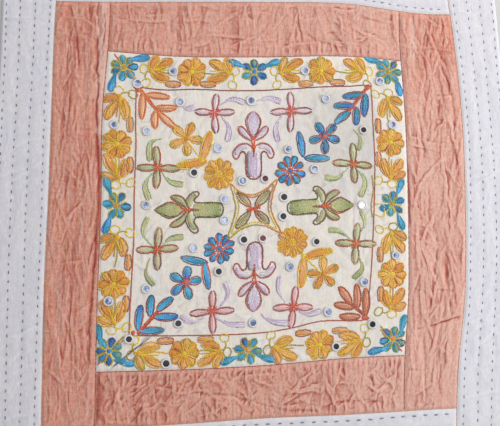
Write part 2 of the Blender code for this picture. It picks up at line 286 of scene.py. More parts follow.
uprightSeams = (  # where it was meant to lie, its drift to the right at seven stations from bottom to top
    (-350, (-1, -2, -1, 0, 2, 5, 5)),
    (-280, (-4, -4, -4, -1, 1, 3, 8)),
    (-205, (-14, -13, -12, -9, -9, -1, 0)),
    (205, (-15, -14, -5, -3, -4, -10, -9)),
    (280, (-18, -13, 1, 5, 4, -5, -18)),
    (350, (-13, -7, -1, 2, -1, -7, -14)),
)
levelSeams = (  # the same for the level seams: drift up, from left to right
    (-350, (0, -1, 0, 3, 4, 5, 5)),
    (-280, (-7, -7, -5, -1, 0, 3, 4)),
    (-208, (-8, -8, -8, -5, 2, 4, 4)),
    (208, (-3, -3, -8, -5, 0, -6, -6)),
    (280, (-12, -10, -5, 0, 3, -7, -1)),
    (350, (-8, -5, -2, 1, -2, -4, -2)),
)
creases = (  # the points it runs through, rise, half width, and whether one side drops sharply
    # left strip, upper half
    (((-224, 273), (-223, 241), (-222, 228)), 1.0, 6, "sharp"),
    (((-222, 225), (-221, 202), (-220, 174), (-219, 160), (-221, 136), (-221, 97), (-219, 71),
      (-217, 31), (-217, -12)), -1.4, 5),
    (((-219, -12), (-220, -54), (-222, -92), (-225, -126), (-227, -150), (-226, -173), (-229, -199),
      (-223, -208)), -1.2, 5),
    (((-245, 268), (-237, 245), (-223, 232), (-220, 221)), 0.9, 4),
    (((-247, 228), (-247, 210), (-246, 192), (-245, 178)), -1.2, 4),
    (((-250, 169), (-246, 152), (-239, 135), (-237, 121)), 1.1, 4, "sharp"),
    (((-227, 218), (-227, 144), (-232, 97)), 0.8, 6),
    (((-253, 123), (-250, 70), (-252, 50), (-247, -12)), 0.8, 6),
    (((-262, 244), (-264, 190), (-262, 143)), 0.5, 5),
    (((-237, 70), (-233, 18), (-236, -34)), 0.6, 5),
    # left strip, lower half
    (((-273, -81), (-249, -76), (-241, -74), (-234, -65)), 0.6, 4),
    (((-271, -149), (-266, -172), (-263, -195), (-260, -221), (-254, -239), (-253, -254), (-248, -271),
      (-244, -285)), 1.3, 5, "sharp"),
    (((-241, -155), (-239, -176), (-236, -199)), 0.7, 4),
    (((-250, -199), (-238, -217), (-232, -230)), 0.8, 4),
    (((-277, -249), (-264, -264), (-255, -280)), 0.7, 4),
    (((-235, -235), (-229, -257), (-231, -280)), 0.7, 4),
    # right strip, upper half
    (((203, 273), (202, 205)), 0.9, 4, "sharp"),
    (((251, 205), (258, 190), (265, 174), (271, 154), (273, 130), (272, 84)), -1.3, 4),
    (((253, 210), (266, 190), (271, 176)), 1.0, 4),
    (((231, 225), (232, 179), (233, 155)), -0.9, 4),
    (((239, 260), (254, 259), (268, 255)), -0.9, 4),
    (((231, 264), (239, 247), (248, 221)), 0.7, 4),
    (((221, 134), (223, 109), (226, 83), (229, 58)), -0.9, 5),
    (((270, 84), (275, 59), (275, 22)), -0.9, 4),
    (((246, 151), (247, 125), (253, 112)), 0.6, 4),
    # right strip, lower half
    (((205, -27), (218, -28), (231, -32)), -0.8, 3),
    (((238, -13), (238, -32), (244, -50), (242, -64), (240, -84), (241, -99), (234, -120),
      (230, -144)), -1.1, 4),
    (((256, -62), (257, -84), (257, -119), (258, -149)), -0.9, 4),
    (((206, -112), (220, -118), (230, -127)), -0.8, 3),
    (((237, -112), (253, -117), (269, -117)), -0.7, 3),
    (((225, -166), (252, -158), (276, -152)), -1.7, 4, "sharp"),
    (((285, -159), (292, -157), (301, -154)), -0.7, 4),
    (((201, -166), (214, -167), (224, -166)), -0.6, 3),
    (((241, -188), (242, -221), (240, -248), (243, -262)), -0.9, 4),
    (((220, -173), (221, -203), (220, -271)), -0.9, 5),
    (((264, -219), (264, -272)), 0.7, 3),
    (((189, -221), (203, -222), (219, -222)), -0.6, 3),
    (((231, -184), (250, -201), (258, -228)), 0.6, 4),
    (((257, -171), (259, -198), (251, -222)), 0.6, 4),
    # bottom strip
    (((-95, -244), (-72, -246), (-44, -250), (4, -265), (36, -272), (73, -273)), -0.9, 4),
    (((-52, -236), (-38, -228), (-24, -225), (21, -224)), 0.7, 4),
    (((73, -271), (102, -261), (140, -262), (163, -266)), -0.9, 4),
    (((-177, -252), (-161, -260), (-177, -275)), 0.8, 4),
    (((140, -222), (149, -242), (140, -266)), -0.9, 4),
    (((146, -225), (159, -236), (178, -234)), 0.6, 4),
    (((-149, -229), (-130, -243), (-113, -236), (-98, -244)), 0.7, 4),
    (((-78, -255), (-56, -261), (-33, -272)), 0.6, 4),
    (((-196, -221), (-192, -234), (-187, -249)), 0.9, 4),
    (((-205, -275), (-183, -280), (-162, -263)), 0.9, 4),
    (((-216, -221), (-208, -239), (-212, -254)), -1.4, 7),
    (((-184, -252), (-172, -237), (-149, -233)), 0.8, 4),
    (((-209, -256), (-197, -249), (-182, -257)), 0.7, 4),
    # top strip
    (((59, 239), (77, 228), (115, 219)), -1.0, 5),
    (((89, 250), (106, 233), (125, 214)), -1.1, 5),
    (((140, 246), (160, 238), (183, 229)), -0.9, 5),
    (((-173, 261), (-166, 237), (-171, 212)), 0.7, 5),
    (((-115, 266), (-123, 244), (-113, 217)), -0.6, 5),
    (((-65, 260), (-56, 238), (-61, 210)), 0.6, 5),
    (((-1, 269), (-9, 243), (4, 218)), -0.6, 5),
    (((38, 259), (66, 257), (95, 266)), 0.6, 5),
    (((131, 271), (152, 261), (187, 265)), -0.7, 5),
    # corner by the left seam
    (((-219, -236), (-219, -257), (-218, -281)), 1.2, 3),
    (((-198, -231), (-192, -242), (-186, -261), (-177, -277)), 1.3, 4),
    (((-201, -221), (-207, -231), (-211, -240)), 1.1, 4),
    (((-168, -279), (-164, -274), (-159, -266), (-156, -257)), 1.4, 4, "sharp"),
    # right border
    (((280, -166), (293, -159), (308, -152)), 0.6, 4),
    (((307, -161), (316, -147), (322, -135)), 0.6, 5),
    (((305, -131), (312, -117), (316, -96)), 0.5, 5),
    (((313, -48), (315, -78), (308, -110)), 0.6, 7),
    (((286, -172), (297, -192), (293, -226)), 0.5, 6),
    (((300, -172), (308, -199), (302, -240)), 0.5, 6),
    (((318, -170), (326, -200), (321, -240)), -0.5, 6),
    (((309, 60), (318, 30), (312, -10)), 0.4, 7),
    # panel
    (((-149, -171), (-163, -183), (-179, -195), (-190, -204), (-202, -213)), -1.5, 4, "sharp"),
    (((-140, -175), (-160, -188), (-176, -200), (-188, -210), (-197, -216)), 1.3, 4),
    (((-121, -171), (-104, -160)), -0.8, 3),
    (((-99, 134), (-101, 73), (-91, 6)), 0.5, 6),
    (((49, -14), (90, -48), (120, -86)), 0.5, 7),
    (((-150, -125), (-98, -116), (-51, -127)), 0.5, 6),
    (((10, 150), (17, 88), (9, 61)), 0.4, 6),
    (((106, 62), (122, 21), (119, -27)), 0.5, 6),
)


def through(before, here, ahead, beyond, share):
    # a smooth curve from here to ahead, on its way from before to beyond
    bend = 2 * before - 5 * here + 4 * ahead - beyond
    twist = 3 * here - before - 3 * ahead + beyond
    return here + ((ahead - before) * share + bend * share ** 2 + twist * share ** 3) / 2


def driftAt(drift, share):
    station = np.minimum((share * 6).astype(int), 5)
    along = share * 6 - station
    table = np.array(drift, float)
    before = table[np.maximum(station - 1, 0)]
    beyond = table[np.minimum(station + 2, 6)]
    return through(before, table[station], table[station + 1], beyond, along)


def settle(value, seams, crossing):
    share = np.clip((crossing + quilt["half"]) / (2 * quilt["half"]), 0, 1)
    meant = [lies for lies, drift in seams]
    real = [lies + driftAt(drift, share) for lies, drift in seams]
    place = real[0]
    for low in range(5):
        part = np.clip((value - meant[low]) / (meant[low + 1] - meant[low]), 0, 1)
        place = place + part * (real[low + 1] - real[low])
    return place


def lay(across, along):
    x = np.array(across, float)
    y = np.array(along, float)
    for again in range(5):
        x = settle(across, uprightSeams, y)
        y = settle(along, levelSeams, x)
    return x, y


def smooth(value):
    value = np.clip(value, 0, 1)
    return value * value * (3 - 2 * value)


def cloudy(u, v, seed):
    # soft uneven hills, about one unit apart, from -1 to 1
    table = np.random.default_rng(seed).uniform(-1, 1, (64, 64))
    column = np.floor(u).astype(int)
    row = np.floor(v).astype(int)
    s = smooth(u - column)
    t = smooth(v - row)
    low = table[row % 64, column % 64] * (1 - s) + table[row % 64, (column + 1) % 64] * s
    high = table[(row + 1) % 64, column % 64] * (1 - s) + table[(row + 1) % 64, (column + 1) % 64] * s
    return low * (1 - t) + high * t


def wrinkled(u, v, seed):
    # thin crooked ridges between flatter places, 0 to 1
    u = u + 0.5 * cloudy(u * 0.7 + 5, v * 0.7, seed + 1)
    v = v + 0.5 * cloudy(u * 0.7, v * 0.7 + 9, seed + 2)
    return 1 - np.abs(cloudy(u, v, seed)) ** 0.7


def crumpled(u, v, seed):
    # facets that stand out or sink in, with sharp folds between them, about one unit apart, -1 to 1
    bent = u + 0.4 * cloudy(u * 0.9, v * 0.9, seed + 1)
    v = v + 0.4 * cloudy(u * 0.9 + 7, v * 0.9, seed + 2)
    u = bent
    table = np.random.default_rng(seed).uniform(0, 1, (64, 64, 3))
    column = np.floor(u).astype(int)
    row = np.floor(v).astype(int)
    nearest = np.full(u.shape, 9.0)
    second = nearest.copy()
    way = np.zeros(u.shape)
    for up in (-1, 0, 1):
        for right in (-1, 0, 1):
            spot = table[(row + up) % 64, (column + right) % 64]
            away = np.hypot(column + right + spot[..., 0] - u, row + up + spot[..., 1] - v)
            second = np.minimum(second, np.maximum(nearest, away))
            way = np.where(away < nearest, spot[..., 2] * 2 - 1, way)
            nearest = np.minimum(nearest, away)
    return np.clip((second - nearest) * 1.5, 0, 1) * way


def besideLine(x, y, line, wider=1.0, narrower=1.0):
    # how far each place lies to the right of a line of straight runs, how far along it, and its length;
    # wider and narrower stretch what lies to its right and to its left
    line = np.array(line, float)
    closest = np.full(x.shape, 99.0)
    side = closest.copy()
    travelled = np.zeros(x.shape)
    done = 0.0
    for start, end in zip(line[:-1], line[1:]):
        run = end - start
        length = math.hypot(*run)
        forward = ((x - start[0]) * run[0] + (y - start[1]) * run[1]) / length
        beside = ((x - start[0]) * run[1] - (y - start[1]) * run[0]) / length
        beside = np.where(beside > 0, beside / wider, beside / narrower)
        on = np.clip(forward, 0, length)
        away = np.hypot(beside, forward - on)
        side = np.where(away < closest, np.where(beside < 0, -away, away), side)
        travelled = np.where(away < closest, done + on, travelled)
        closest = np.minimum(closest, away)
        done += length
    return side, travelled, done


def creaseRise(x, y):
    rise = np.zeros_like(x)
    if not x.size:
        return rise
    bentX = x + 1.2 * cloudy(x / 15 + 3, y / 15, 71) + 1.3 * cloudy(x / 6.5, y / 6.5, 72)
    bentY = y + 1.2 * cloudy(x / 15, y / 15 + 9, 73) + 1.0 * cloudy(x / 6.5 + 5, y / 6.5, 74)
    uneven = 0.85 + 0.5 * cloudy(x / 12, y / 12 + 4, 76)
    low, high = (x.min(), y.min()), (x.max(), y.max())
    for line, height, width, *sharp in creases:
        if (np.max(line, 0) + width + 4 < low).any() or (np.min(line, 0) - width - 4 > high).any():
            continue
        side, travelled, length = besideLine(bentX, bentY, line, 1.7, 0.3 if sharp else 0.6)
        taper = smooth(np.minimum(travelled, length - travelled) / 16 + 0.12)
        rise = rise + height * taper * uneven * np.clip(1 - np.abs(side) / width, 0, 1) ** 1.35
    return rise


darkFolds = (  # painted deep red shade where the cloth is folded under itself: the line, half width, how dark
    (((-222, 226), (-221, 202), (-220, 174), (-219, 160), (-221, 136), (-221, 97)), 3.2, 1.0),
    (((-221, 97), (-219, 71), (-217, 31), (-217, -12), (-219, -54), (-221, -92)), 4.2, 1.0),
    (((-221, -92), (-224, -126), (-226, -150), (-225, -173), (-226, -199), (-222, -208)), 3.2, 1.0),
    (((-212, -212), (-213, -232), (-214, -251), (-215, -278)), 5.0, 1.0),
    (((-158, -255), (-160, -264), (-167, -275), (-177, -283)), 1.9, 0.9),
    (((-228, -194), (-227, -216), (-228, -236)), 4.0, 0.5),
    (((-247, 228), (-247, 210), (-246, 192), (-245, 178)), 1.8, 1.0),
    (((-221, 275), (-221, 250), (-221, 232)), 2.4, 1.0),
    (((202, 60), (203, 20), (204, -30)), 2.2, 1.0),
    (((225, -166), (252, -158), (276, -152)), 1.7, 0.9),
    (((241, -188), (242, -221), (240, -248), (243, -262)), 2.2, 0.7),
    (((220, -173), (221, -203), (220, -271)), 2.0, 0.6),
    (((251, 205), (258, 190), (265, 174), (271, 154), (273, 130), (272, 84)), 2.4, 0.6),
    (((240, -84), (241, -99), (234, -120), (230, -144)), 2.0, 0.6),
    (((256, -62), (257, -84), (257, -119), (258, -149)), 2.0, 0.7),
)
# painted shade on the panel: folds in its lower left corner, and soft shade along its left and bottom edges;
# the line, half width, how dark
panelFolds = (
    (((-145, -170), (-163, -184), (-179, -196), (-190, -205), (-203, -215)), 2.1, 1.75),
    (((-121, -171), (-104, -160)), 1.6, 0.6),
    (((-203, 150), (-200, 60), (-203, -40), (-206, -150)), 5.0, 0.25),
    (((-190, -206), (-100, -203), (0, -200)), 4.0, 0.20),
)


def foldShade(x, y, folds):
    shade = np.zeros_like(x)
    for line, width, dark in folds:
        side, travelled, length = besideLine(x + 0.8 * cloudy(x / 9, y / 9, 75), y, line)
        taper = smooth(np.minimum(travelled, length - travelled) / 14 + 0.3)
        shade = np.maximum(shade, dark * taper * (1 - smooth(np.abs(side) / width)))
    return shade


def panelRelief(across, along):
    relief = 0.25 * np.sin(across / 17 + 0.6 * np.sin(along / 23))
    relief = relief * np.sin(along / 19 + 0.5 * np.sin(across / 29))
    relief = relief + 0.20 * cloudy(across / 24 + 3, along / 24, 21)
    relief = relief + 0.12 * cloudy(across / 11, along / 9, 22)
    relief = relief + 0.30 * (wrinkled(across / 22, along / 40, 24) - 0.7)
    relief = relief + 0.30 * (wrinkled(across / 10, along / 16, 27) - 0.7)
    relief = relief + 0.34 * crumpled(across / 17, along / 30, 61)
    return relief + 0.16 * (wrinkled(across / 6, along / 22, 29) - 0.7)


# Creases crushed into the cloth, scattered by rule: how many, the usual heading in degrees and how far it
# varies, the share that cross the others, the run between two bends, the turn at a bend, and the height.
crushing = {
    "left": {"seed": 301, "count": 230, "fine": 260, "heading": 90, "lean": 5, "cross": 0.10,
             "off": (15, 45), "run": 19, "turn": 7, "high": 0.52},
    "right": {"seed": 302, "count": 240, "fine": 420, "heading": 90, "lean": 5, "cross": 0.14,
              "off": (15, 90), "run": 24, "turn": 8, "high": 0.60},
    "bottom": {"seed": 303, "count": 220, "fine": 540, "heading": 84, "lean": 22, "cross": 0.30,
               "off": (25, 80), "run": 11, "turn": 17, "high": 0.56},
    "top": {"seed": 304, "count": 170, "fine": 360, "heading": 92, "lean": 8, "cross": 0.32,
            "off": (55, 95), "run": 13, "turn": 9, "high": 0.40},
    "panel": {"seed": 305, "count": 190, "fine": 0, "heading": 80, "lean": 45, "cross": 0.3,
              "off": (30, 80), "run": 15, "turn": 14, "high": 0.40},
    "white": {"seed": 306, "count": 60, "fine": 60, "heading": 90, "lean": 50, "cross": 0.3,
              "off": (30, 80), "run": 15, "turn": 12, "high": 0.26},
}


def crease(points, high, way, size=1.0):
    # a line with the box that it can reach
    low, top = np.min(points, 0) - 7, np.max(points, 0) + 7
    return (low[0], low[1], top[0], top[1]), points, high, way / size


def crushLines(box, look, gathers=()):
    chance = np.random.default_rng(look["seed"])
    lines = []
    for number in range(look["count"] + look["fine"]):
        small = number < look["fine"]
        x, y = chance.uniform(box[0], box[1]), chance.uniform(box[2], box[3])
        heading = look["heading"] + chance.normal(0, look["lean"] * (3 if small else 1))
        if chance.random() < look["cross"]:
            heading += chance.uniform(*look["off"]) * chance.choice((-1, 1))
        points = [(x, y)]
        for bend in range(chance.integers(1, 3) if small else chance.integers(2, 6)):
            run = (9 if small else look["run"]) * chance.uniform(0.5, 1.4)
            heading += chance.normal(0, look["turn"])
            x, y = x + run * math.cos(math.radians(heading)), y + run * math.sin(math.radians(heading))
            points.append((x, y))
        high = look["high"] * (chance.uniform(0.25, 0.5) if small else chance.uniform(0.35, 1.0))
        lines.append(crease(points, high, 1 if chance.random() < 0.72 else -1, 0.72 if small else 1.0))
    for seam, inward, spacing, reach in gathers:        # short folds that start in a level seam
        x = box[0] + 6
        while x < box[1] - 6:
            deep = reach * chance.uniform(0.5, 1.3)
            lean = chance.normal(0, 2.5)
            middle = (x + lean * 0.4 + chance.normal(0, 0.8), seam + inward * deep * 0.5)
            points = [(x, seam - inward * 5), middle, (x + lean, seam + inward * deep)]
            lines.append(crease(points[::inward], chance.uniform(0.3, 0.6), 1))
            x += spacing * chance.uniform(0.6, 1.4)
    return lines


def crushInto(across, along, lines):
    # each crease slopes down softly on one side and steeply on the other; its foot gets painted shade and its
    # ridge a painted highlight
    relief, tone = np.zeros((2,) + across.shape)
    if not across.size:
        return relief, tone
    x = across + 1.1 * cloudy(across / 7, along / 7, 77)
    y = along + 1.1 * cloudy(across / 7 + 4, along / 7, 78)
    lowX, highX, lowY, highY = x.min(), x.max(), y.min(), y.max()
    for (west, south, east, north), line, height, way in lines:
        if east < lowX or west > highX or north < lowY or south > highY:
            continue
        near = (x > west) & (x < east) & (y > south) & (y < north)
        if not near.any():
            continue
        side, travelled, length = besideLine(x[near], y[near], line)
        side = side * way
        rise = height * smooth(np.minimum(travelled, length - travelled) / (0.3 * length))
        slope = np.where(side > 0, np.clip(1 - side / 6, 0, 1) ** 1.4, np.clip(1 + side / 2.0, 0, 1))
        relief[near] = np.maximum(relief[near], rise * slope) + 0.35 * np.minimum(relief[near], rise * slope)
        foot = np.clip(1 - np.abs(side + 1.6) / 1.7, 0, 1) + 0.3 * np.clip(1 + side / 7, 0, 1) * (side < 0)
        ridge = np.clip(1 - np.abs(side - 0.7) / 1.9, 0, 1)
        covers = np.clip(2 * (foot + ridge) * rise / height, 0, 1)     # a later crease covers an earlier one
        tone[near] = tone[near] * (1 - covers) + rise * (foot * 1.2 - ridge * 1.9)
    return relief, tone


def softCloth(across, along, seed):
    # what is left between the creases
    relief = 0.22 * np.sin(along / 19.5 + across / 17) + 0.3 * cloudy(across / 21, along / 34, seed)
    return relief + 0.35 * (wrinkled(across / 12, along / 38, seed + 3) - 0.7)


# Rows of running stitch in the border. pitch and bold hold a value for each side: left, right, bottom, top.
quilting = {
    "rows": (8, 27, 46, 63), "dip": 0.5, "pitch": (11.3, 12.4, 15.4, 12.1), "bold": (1.0, 1.0, 1.35, 1.0),
    "stitch": 5.0, "thick": 1.7, "high": 0.9, "under": 0.32, "sits": 0.12, "sitsUnder": 0.27, "margin": 4,
    "underReach": 340,
}


def rowSlip(row, side):
    return (row * 0.37 + side * 0.61) % 1 * quilting["pitch"][side]


def quiltedRelief(outward, along, side):
    rough = 0.3 if side > 1 else 0.1
    relief = 0.15 * np.sin(along / 21 + outward / 9) + rough * cloudy(along / 9, outward / 45, 68 + side)
    relief = relief + 0.30 * cloudy(along / 30, outward / 22, 50 + side)
    relief = relief + 0.30 * (wrinkled(outward / 12, along / 44, 55 + side) - 0.7)
    relief = relief + 0.22 * crumpled(outward / 11, along / 19, 64 + 4 * side)
    trough = np.zeros_like(relief)
    for row, distance in enumerate(quilting["rows"]):
        near = np.abs(outward - distance)
        pull = 0.5 + 0.5 * np.cos(2 * math.pi * (along - rowSlip(row, side)) / quilting["pitch"][side])
        uneven = 0.7 + 0.5 * cloudy(along / 26, outward * 0 + row * 3.3, 90 + side)
        pressed = (1 - smooth(near / 8)) * 0.6 + 0.5 * pull * (1 - smooth(near / 4))
        trough = np.maximum(trough, uneven * pressed)
    return relief - quilting["dip"] * trough


def gridLines(low, high, step, close=None):
    # evenly spaced, with more close to both ends, where the cloth rolls down, and where it is folded sharply
    edge = [0, 0.5, 1.2, 2.2, 3.6]
    count = max(round((high - low - 2 * edge[-1]) / step), 1)
    inner = np.linspace(low + edge[-1], high - edge[-1], count + 1)
    if close:
        before, after = inner[inner < close[0] - 0.5], inner[inner > close[1] + 0.5]
        inner = np.concatenate([before, np.arange(*close), after])
    return np.array([low + gap for gap in edge[:-1]] + list(inner) + [high - gap for gap in edge[-2::-1]])


def topHeight(sheet, across, along):
    x, y = lay(across, along)
    west, east, south, north = sheet["box"]
    edge = np.minimum(np.minimum(across - west, east - across), np.minimum(along - south, north - along))
    hem = quilt["half"] - np.maximum(np.abs(across), np.abs(along))
    dip = quilt["seamDip"] * (1 - smooth(edge / quilt["seamRoll"]))
    dip = dip + quilt["hemRound"] * (1 - smooth(hem / 2.2)) ** 2
    settled = smooth((edge + 2) / 7)
    relief = sheet["relief"](across, along) + crushInto(across, along, sheet["crushed"])[0]
    return x, y, quilt["thick"] - dip + settled * (relief + creaseRise(x, y))


flatBands = (  # the strip's cloth lies doubled here and is paler: left, right, bottom, top
    (-224, -208, 90, 280), (208, 220, 205, 268),
)


def palerAt(x, y):
    # coral and white cloth is paler, more to the right and along the top, and where it lies doubled
    pale = np.zeros_like(x)
    for west, east, south, north in flatBands:
        inside = np.minimum(np.minimum(x - west, east - x), np.minimum(y - south, north - y))
        pale = np.maximum(pale, smooth(inside / 3))
    paling = 0.85 * smooth((x + 250) / 480) * (0.8 + 0.2 * cloudy(x / 90, y / 90, 93))
    paling = paling * (1 - 0.5 * smooth((y - 40) / 180))
    alongTop = smooth((x + 240) / 60) - 2.4 * smooth((x - 185) / 40)
    return np.maximum(pale, paling + 0.22 * smooth((y - 170) / 60) * alongTop)


def greyerAt(x, y):
    # the panel is greyer in the upper right of its field
    inner = smooth((165 - np.maximum(x, y)) / 12)
    greying = 0.85 * smooth((x + 5) / 120) * smooth((y + 50) / 110) + 0.2 * smooth(x / 160)
    return inner * greying * (0.8 + 0.2 * cloudy(x / 40, y / 40, 94))


def hollows(height):
    # how far each place lies below its surroundings, for painted shade in the hollows and painted highlight
    # on the ridges
    wide = height.copy()
    for again in range(5):
        padded = np.pad(wide, 1, mode="edge")
        wide = (padded[:-2, 1:-1] + padded[2:, 1:-1] + padded[1:-1, :-2] + padded[1:-1, 2:] + wide) / 5
    return wide - height


def makeSheet(name, node, kind, box, step, relief, crushed=(), close=(None, None)):
    sheet = {"box": box, "relief": relief, "crushed": crushed}
    west, east, south, north = box

    def parted(edge, inward):
        # half the gap at a seam, none at the hem
        return edge + inward * quilt["seamGap"] / 2 * (abs(edge) != quilt["half"])

    columns = gridLines(parted(west, 1), parted(east, -1), step, close[0])
    rows = gridLines(parted(south, 1), parted(north, -1), step, close[1])
    across, along = np.meshgrid(columns, rows)
    x, y, z = topHeight(sheet, across, along)
    tall, wide = across.shape
    top = np.stack([x, y, z], 2).reshape(-1, 3)
    number = np.arange(tall * wide).reshape(tall, wide)
    quads = np.stack([number[:-1, :-1], number[:-1, 1:], number[1:, 1:], number[1:, :-1]], 2).reshape(-1, 4)
    rim = np.concatenate([number[0, :-1], number[:-1, -1], number[-1, :0:-1], number[:0:-1, 0]])
    flatMap = np.stack([across, along], 2).reshape(-1, 2) / 10
    inward = np.minimum(np.minimum(across - west, east - across), np.minimum(along - south, north - along))
    # painted shade in the hollows and painted highlight on the ridges, together with the painted shade and
    # highlight of the creases
    shade = hollows(z) * (1.6 if crushed else 3.2) + crushInto(across, along, crushed)[1]
    # painted shade and highlight in long soft bands, for the soft folds of the coral cloth
    if kind == "coral":                                 # long soft bands that run up the cloth
        shade = shade + 0.3 * cloudy(x / 8, y / 70, 95) + 0.16 * cloudy(x / 3.5, y / 32, 96)
    shade = (np.clip(shade, -1, 1) * (0.25 + 0.75 * smooth((inward - 1) / 6))).reshape(-1)
    if kind != "white":
        dark = foldShade(x, y, darkFolds if kind == "coral" else panelFolds).reshape(-1)
        shade = np.minimum(shade, 0) + np.maximum(np.maximum(shade, 0), dark)
    toneShift = (greyerAt if kind == "cream" else palerAt)(x, y).reshape(-1)
    points, maps, shades, toneShifts = [top], [flatMap], [shade], [toneShift]
    faces = quads.tolist()
    above = rim
    under = quilting["under"] if kind == "white" else 0
    out = np.sign(flatMap[rim]) * (np.abs(flatMap[rim]) > quilt["half"] / 10 - 0.01)
    for share, bulge in ((0.72, 0.55), (0.35, 0.6), (0.0, 0.0)):  # down the wall, a hem is a soft fold
        level = top[rim].copy()
        level[:, :2] += out * bulge
        level[:, 2] = under + (level[:, 2] - under) * share
        below = np.arange(len(rim)) + sum(len(part) for part in points)
        points.append(level)
        maps.append(flatMap[rim] + out * (1 - share) * 0.3)
        # the walls get a little painted shade
        shades.append(np.full(len(rim), 0.25))
        toneShifts.append(np.zeros(len(rim)))
        faces += np.stack([below, np.roll(below, -1), np.roll(above, -1), above], 1).tolist()
        above = below
    faces.append(above[::-1].tolist())
    mesh = bpy.data.meshes.new(name)
    mesh.from_pydata(np.concatenate(points) * mm, [], faces)
    mesh.update()
    corner = np.empty(len(mesh.loops), int)
    mesh.loops.foreach_get("vertex_index", corner)
    clothMap = np.concatenate(maps)[corner]
    mesh.uv_layers.new(name="cloth").uv.foreach_set("vector", clothMap.astype(np.float32).ravel())
    for title, values in (("hollow", shades), ("toneShift", toneShifts)):
        attribute = mesh.attributes.new(title, "FLOAT", "POINT")
        attribute.data.foreach_set("value", np.concatenate(values).astype(np.float32))
    mesh.polygons.foreach_set("use_smooth", [True] * (len(mesh.polygons) - 1) + [False])    # flat underneath
    mesh.materials.append(cottonMaterials[kind])
    piece = addObject(name, mesh)
    bpy.context.view_layer.objects.active = piece
    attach(piece, "root")
    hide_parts(node)
    return sheet


half, coral = quilt["half"], quilt["coralHalf"]
panelWide, panelLong = quilt["panelHalfWidth"], quilt["panelHalfLength"]
panelBox = (-panelWide, panelWide, -panelLong, panelLong)
panel = makeSheet("panel_cloth", "panel_embroidered", "cream", panelBox, 2.6, panelRelief,
                  crushLines(panelBox, crushing["panel"], ((-panelLong, 1, 9, 12),)),
                  ((-198, -108, 1.5), (-202, -158, 1.5)))

for name, box, seed, flat, gathers in (
    ("left", (-coral, -panelWide, -coral, coral), 31, (0.075, 0.560), ()),
    ("right", (panelWide, coral, -coral, coral), 31, (0.075, 0.560), ((-coral, 1, 8, 14),)),
    ("bottom", (-panelWide, panelWide, -coral, -panelLong), 36, (0.410, 0.072),
     ((-panelLong, -1, 10.5, 20), (-coral, 1, 10.5, 22))),
    ("top", (-panelWide, panelWide, panelLong, coral), 36, (0.410, 0.072), ((panelLong, 1, 11, 20),)),
):
    def coralRelief(across, along, seed=seed):
        return softCloth(across, along, seed)

    makeSheet("coral_" + name, "coral_strip_" + name, "coral", box, 1.5, coralRelief,
              crushLines(box, crushing[name], gathers))

borders = {}
for side, (name, box, flat) in enumerate((
    ("left", (-half, -coral, -half, half), (0.070, 0.700)),
    ("right", (coral, half, -half, half), (0.070, 0.700)),
    ("bottom", (-coral, coral, -half, -coral), (0.560, 0.070)),
    ("top", (-coral, coral, coral, half), (0.560, 0.070)),
)):
    def borderRelief(across, along, side=side):
        outward, forward = (across, along) if side < 2 else (along, across)
        return quiltedRelief(np.abs(outward) - coral, forward, side)

    borders[name] = makeSheet("white_" + name, "white_strip_" + name, "white", box, 2.8, borderRelief,
                              crushLines(box, crushing["white"]))
print("nine pieces of cloth laid")


# Thread. Each piece of thread work has a strand map, whose U counts yarns, and its dye as a colour.

def makeThread(name, gloss):
    material, wire, shader = startMaterial(name, sheen=0.06)
    strand = wire.node("ShaderNodeUVMap", {"uv_map": "strand"})
    dye = wire.node("ShaderNodeAttribute", {"attribute_name": "dye"})
    apart = wire.node("ShaderNodeSeparateXYZ", None, {0: strand})
    along = wire.node("ShaderNodeSeparateXYZ", None, {0: strand}, out=1)
    fleck = wire.node("ShaderNodeTexNoise", {"noise_dimensions": "2D"},
                      {"Vector": wire.node("ShaderNodeMapping", None, {0: strand, 3: (1.3, 0.25, 1.0)}),
                       "Scale": 1.0, "Detail": 3.0, "Roughness": 0.6})
    ply = wire.sum("SINE", apart * 6.2832 + along * 0.8)
    groove = (0.5 - ply * 0.5) ** 3.0
    colour = wire.mix((fleck - 0.42) * 1.5, dye, wire.mix(0.24, dye, (1.0, 0.97, 0.92, 1)))
    # painted shade in the grooves between the plies
    colour = wire.mix(groove * 0.3, colour, wire.mix(1.0, dye, dyed((176, 152, 140)), blend="MULTIPLY"))
    height = ply * 0.5 + fleck * 0.5
    bump = wire.node("ShaderNodeBump", None, {"Height": height, "Strength": 0.5, "Distance": 0.0003})
    finishMaterial(wire, shader, {"Base Color": colour, "Roughness": gloss + fleck * 0.2, "Normal": bump})
    return material


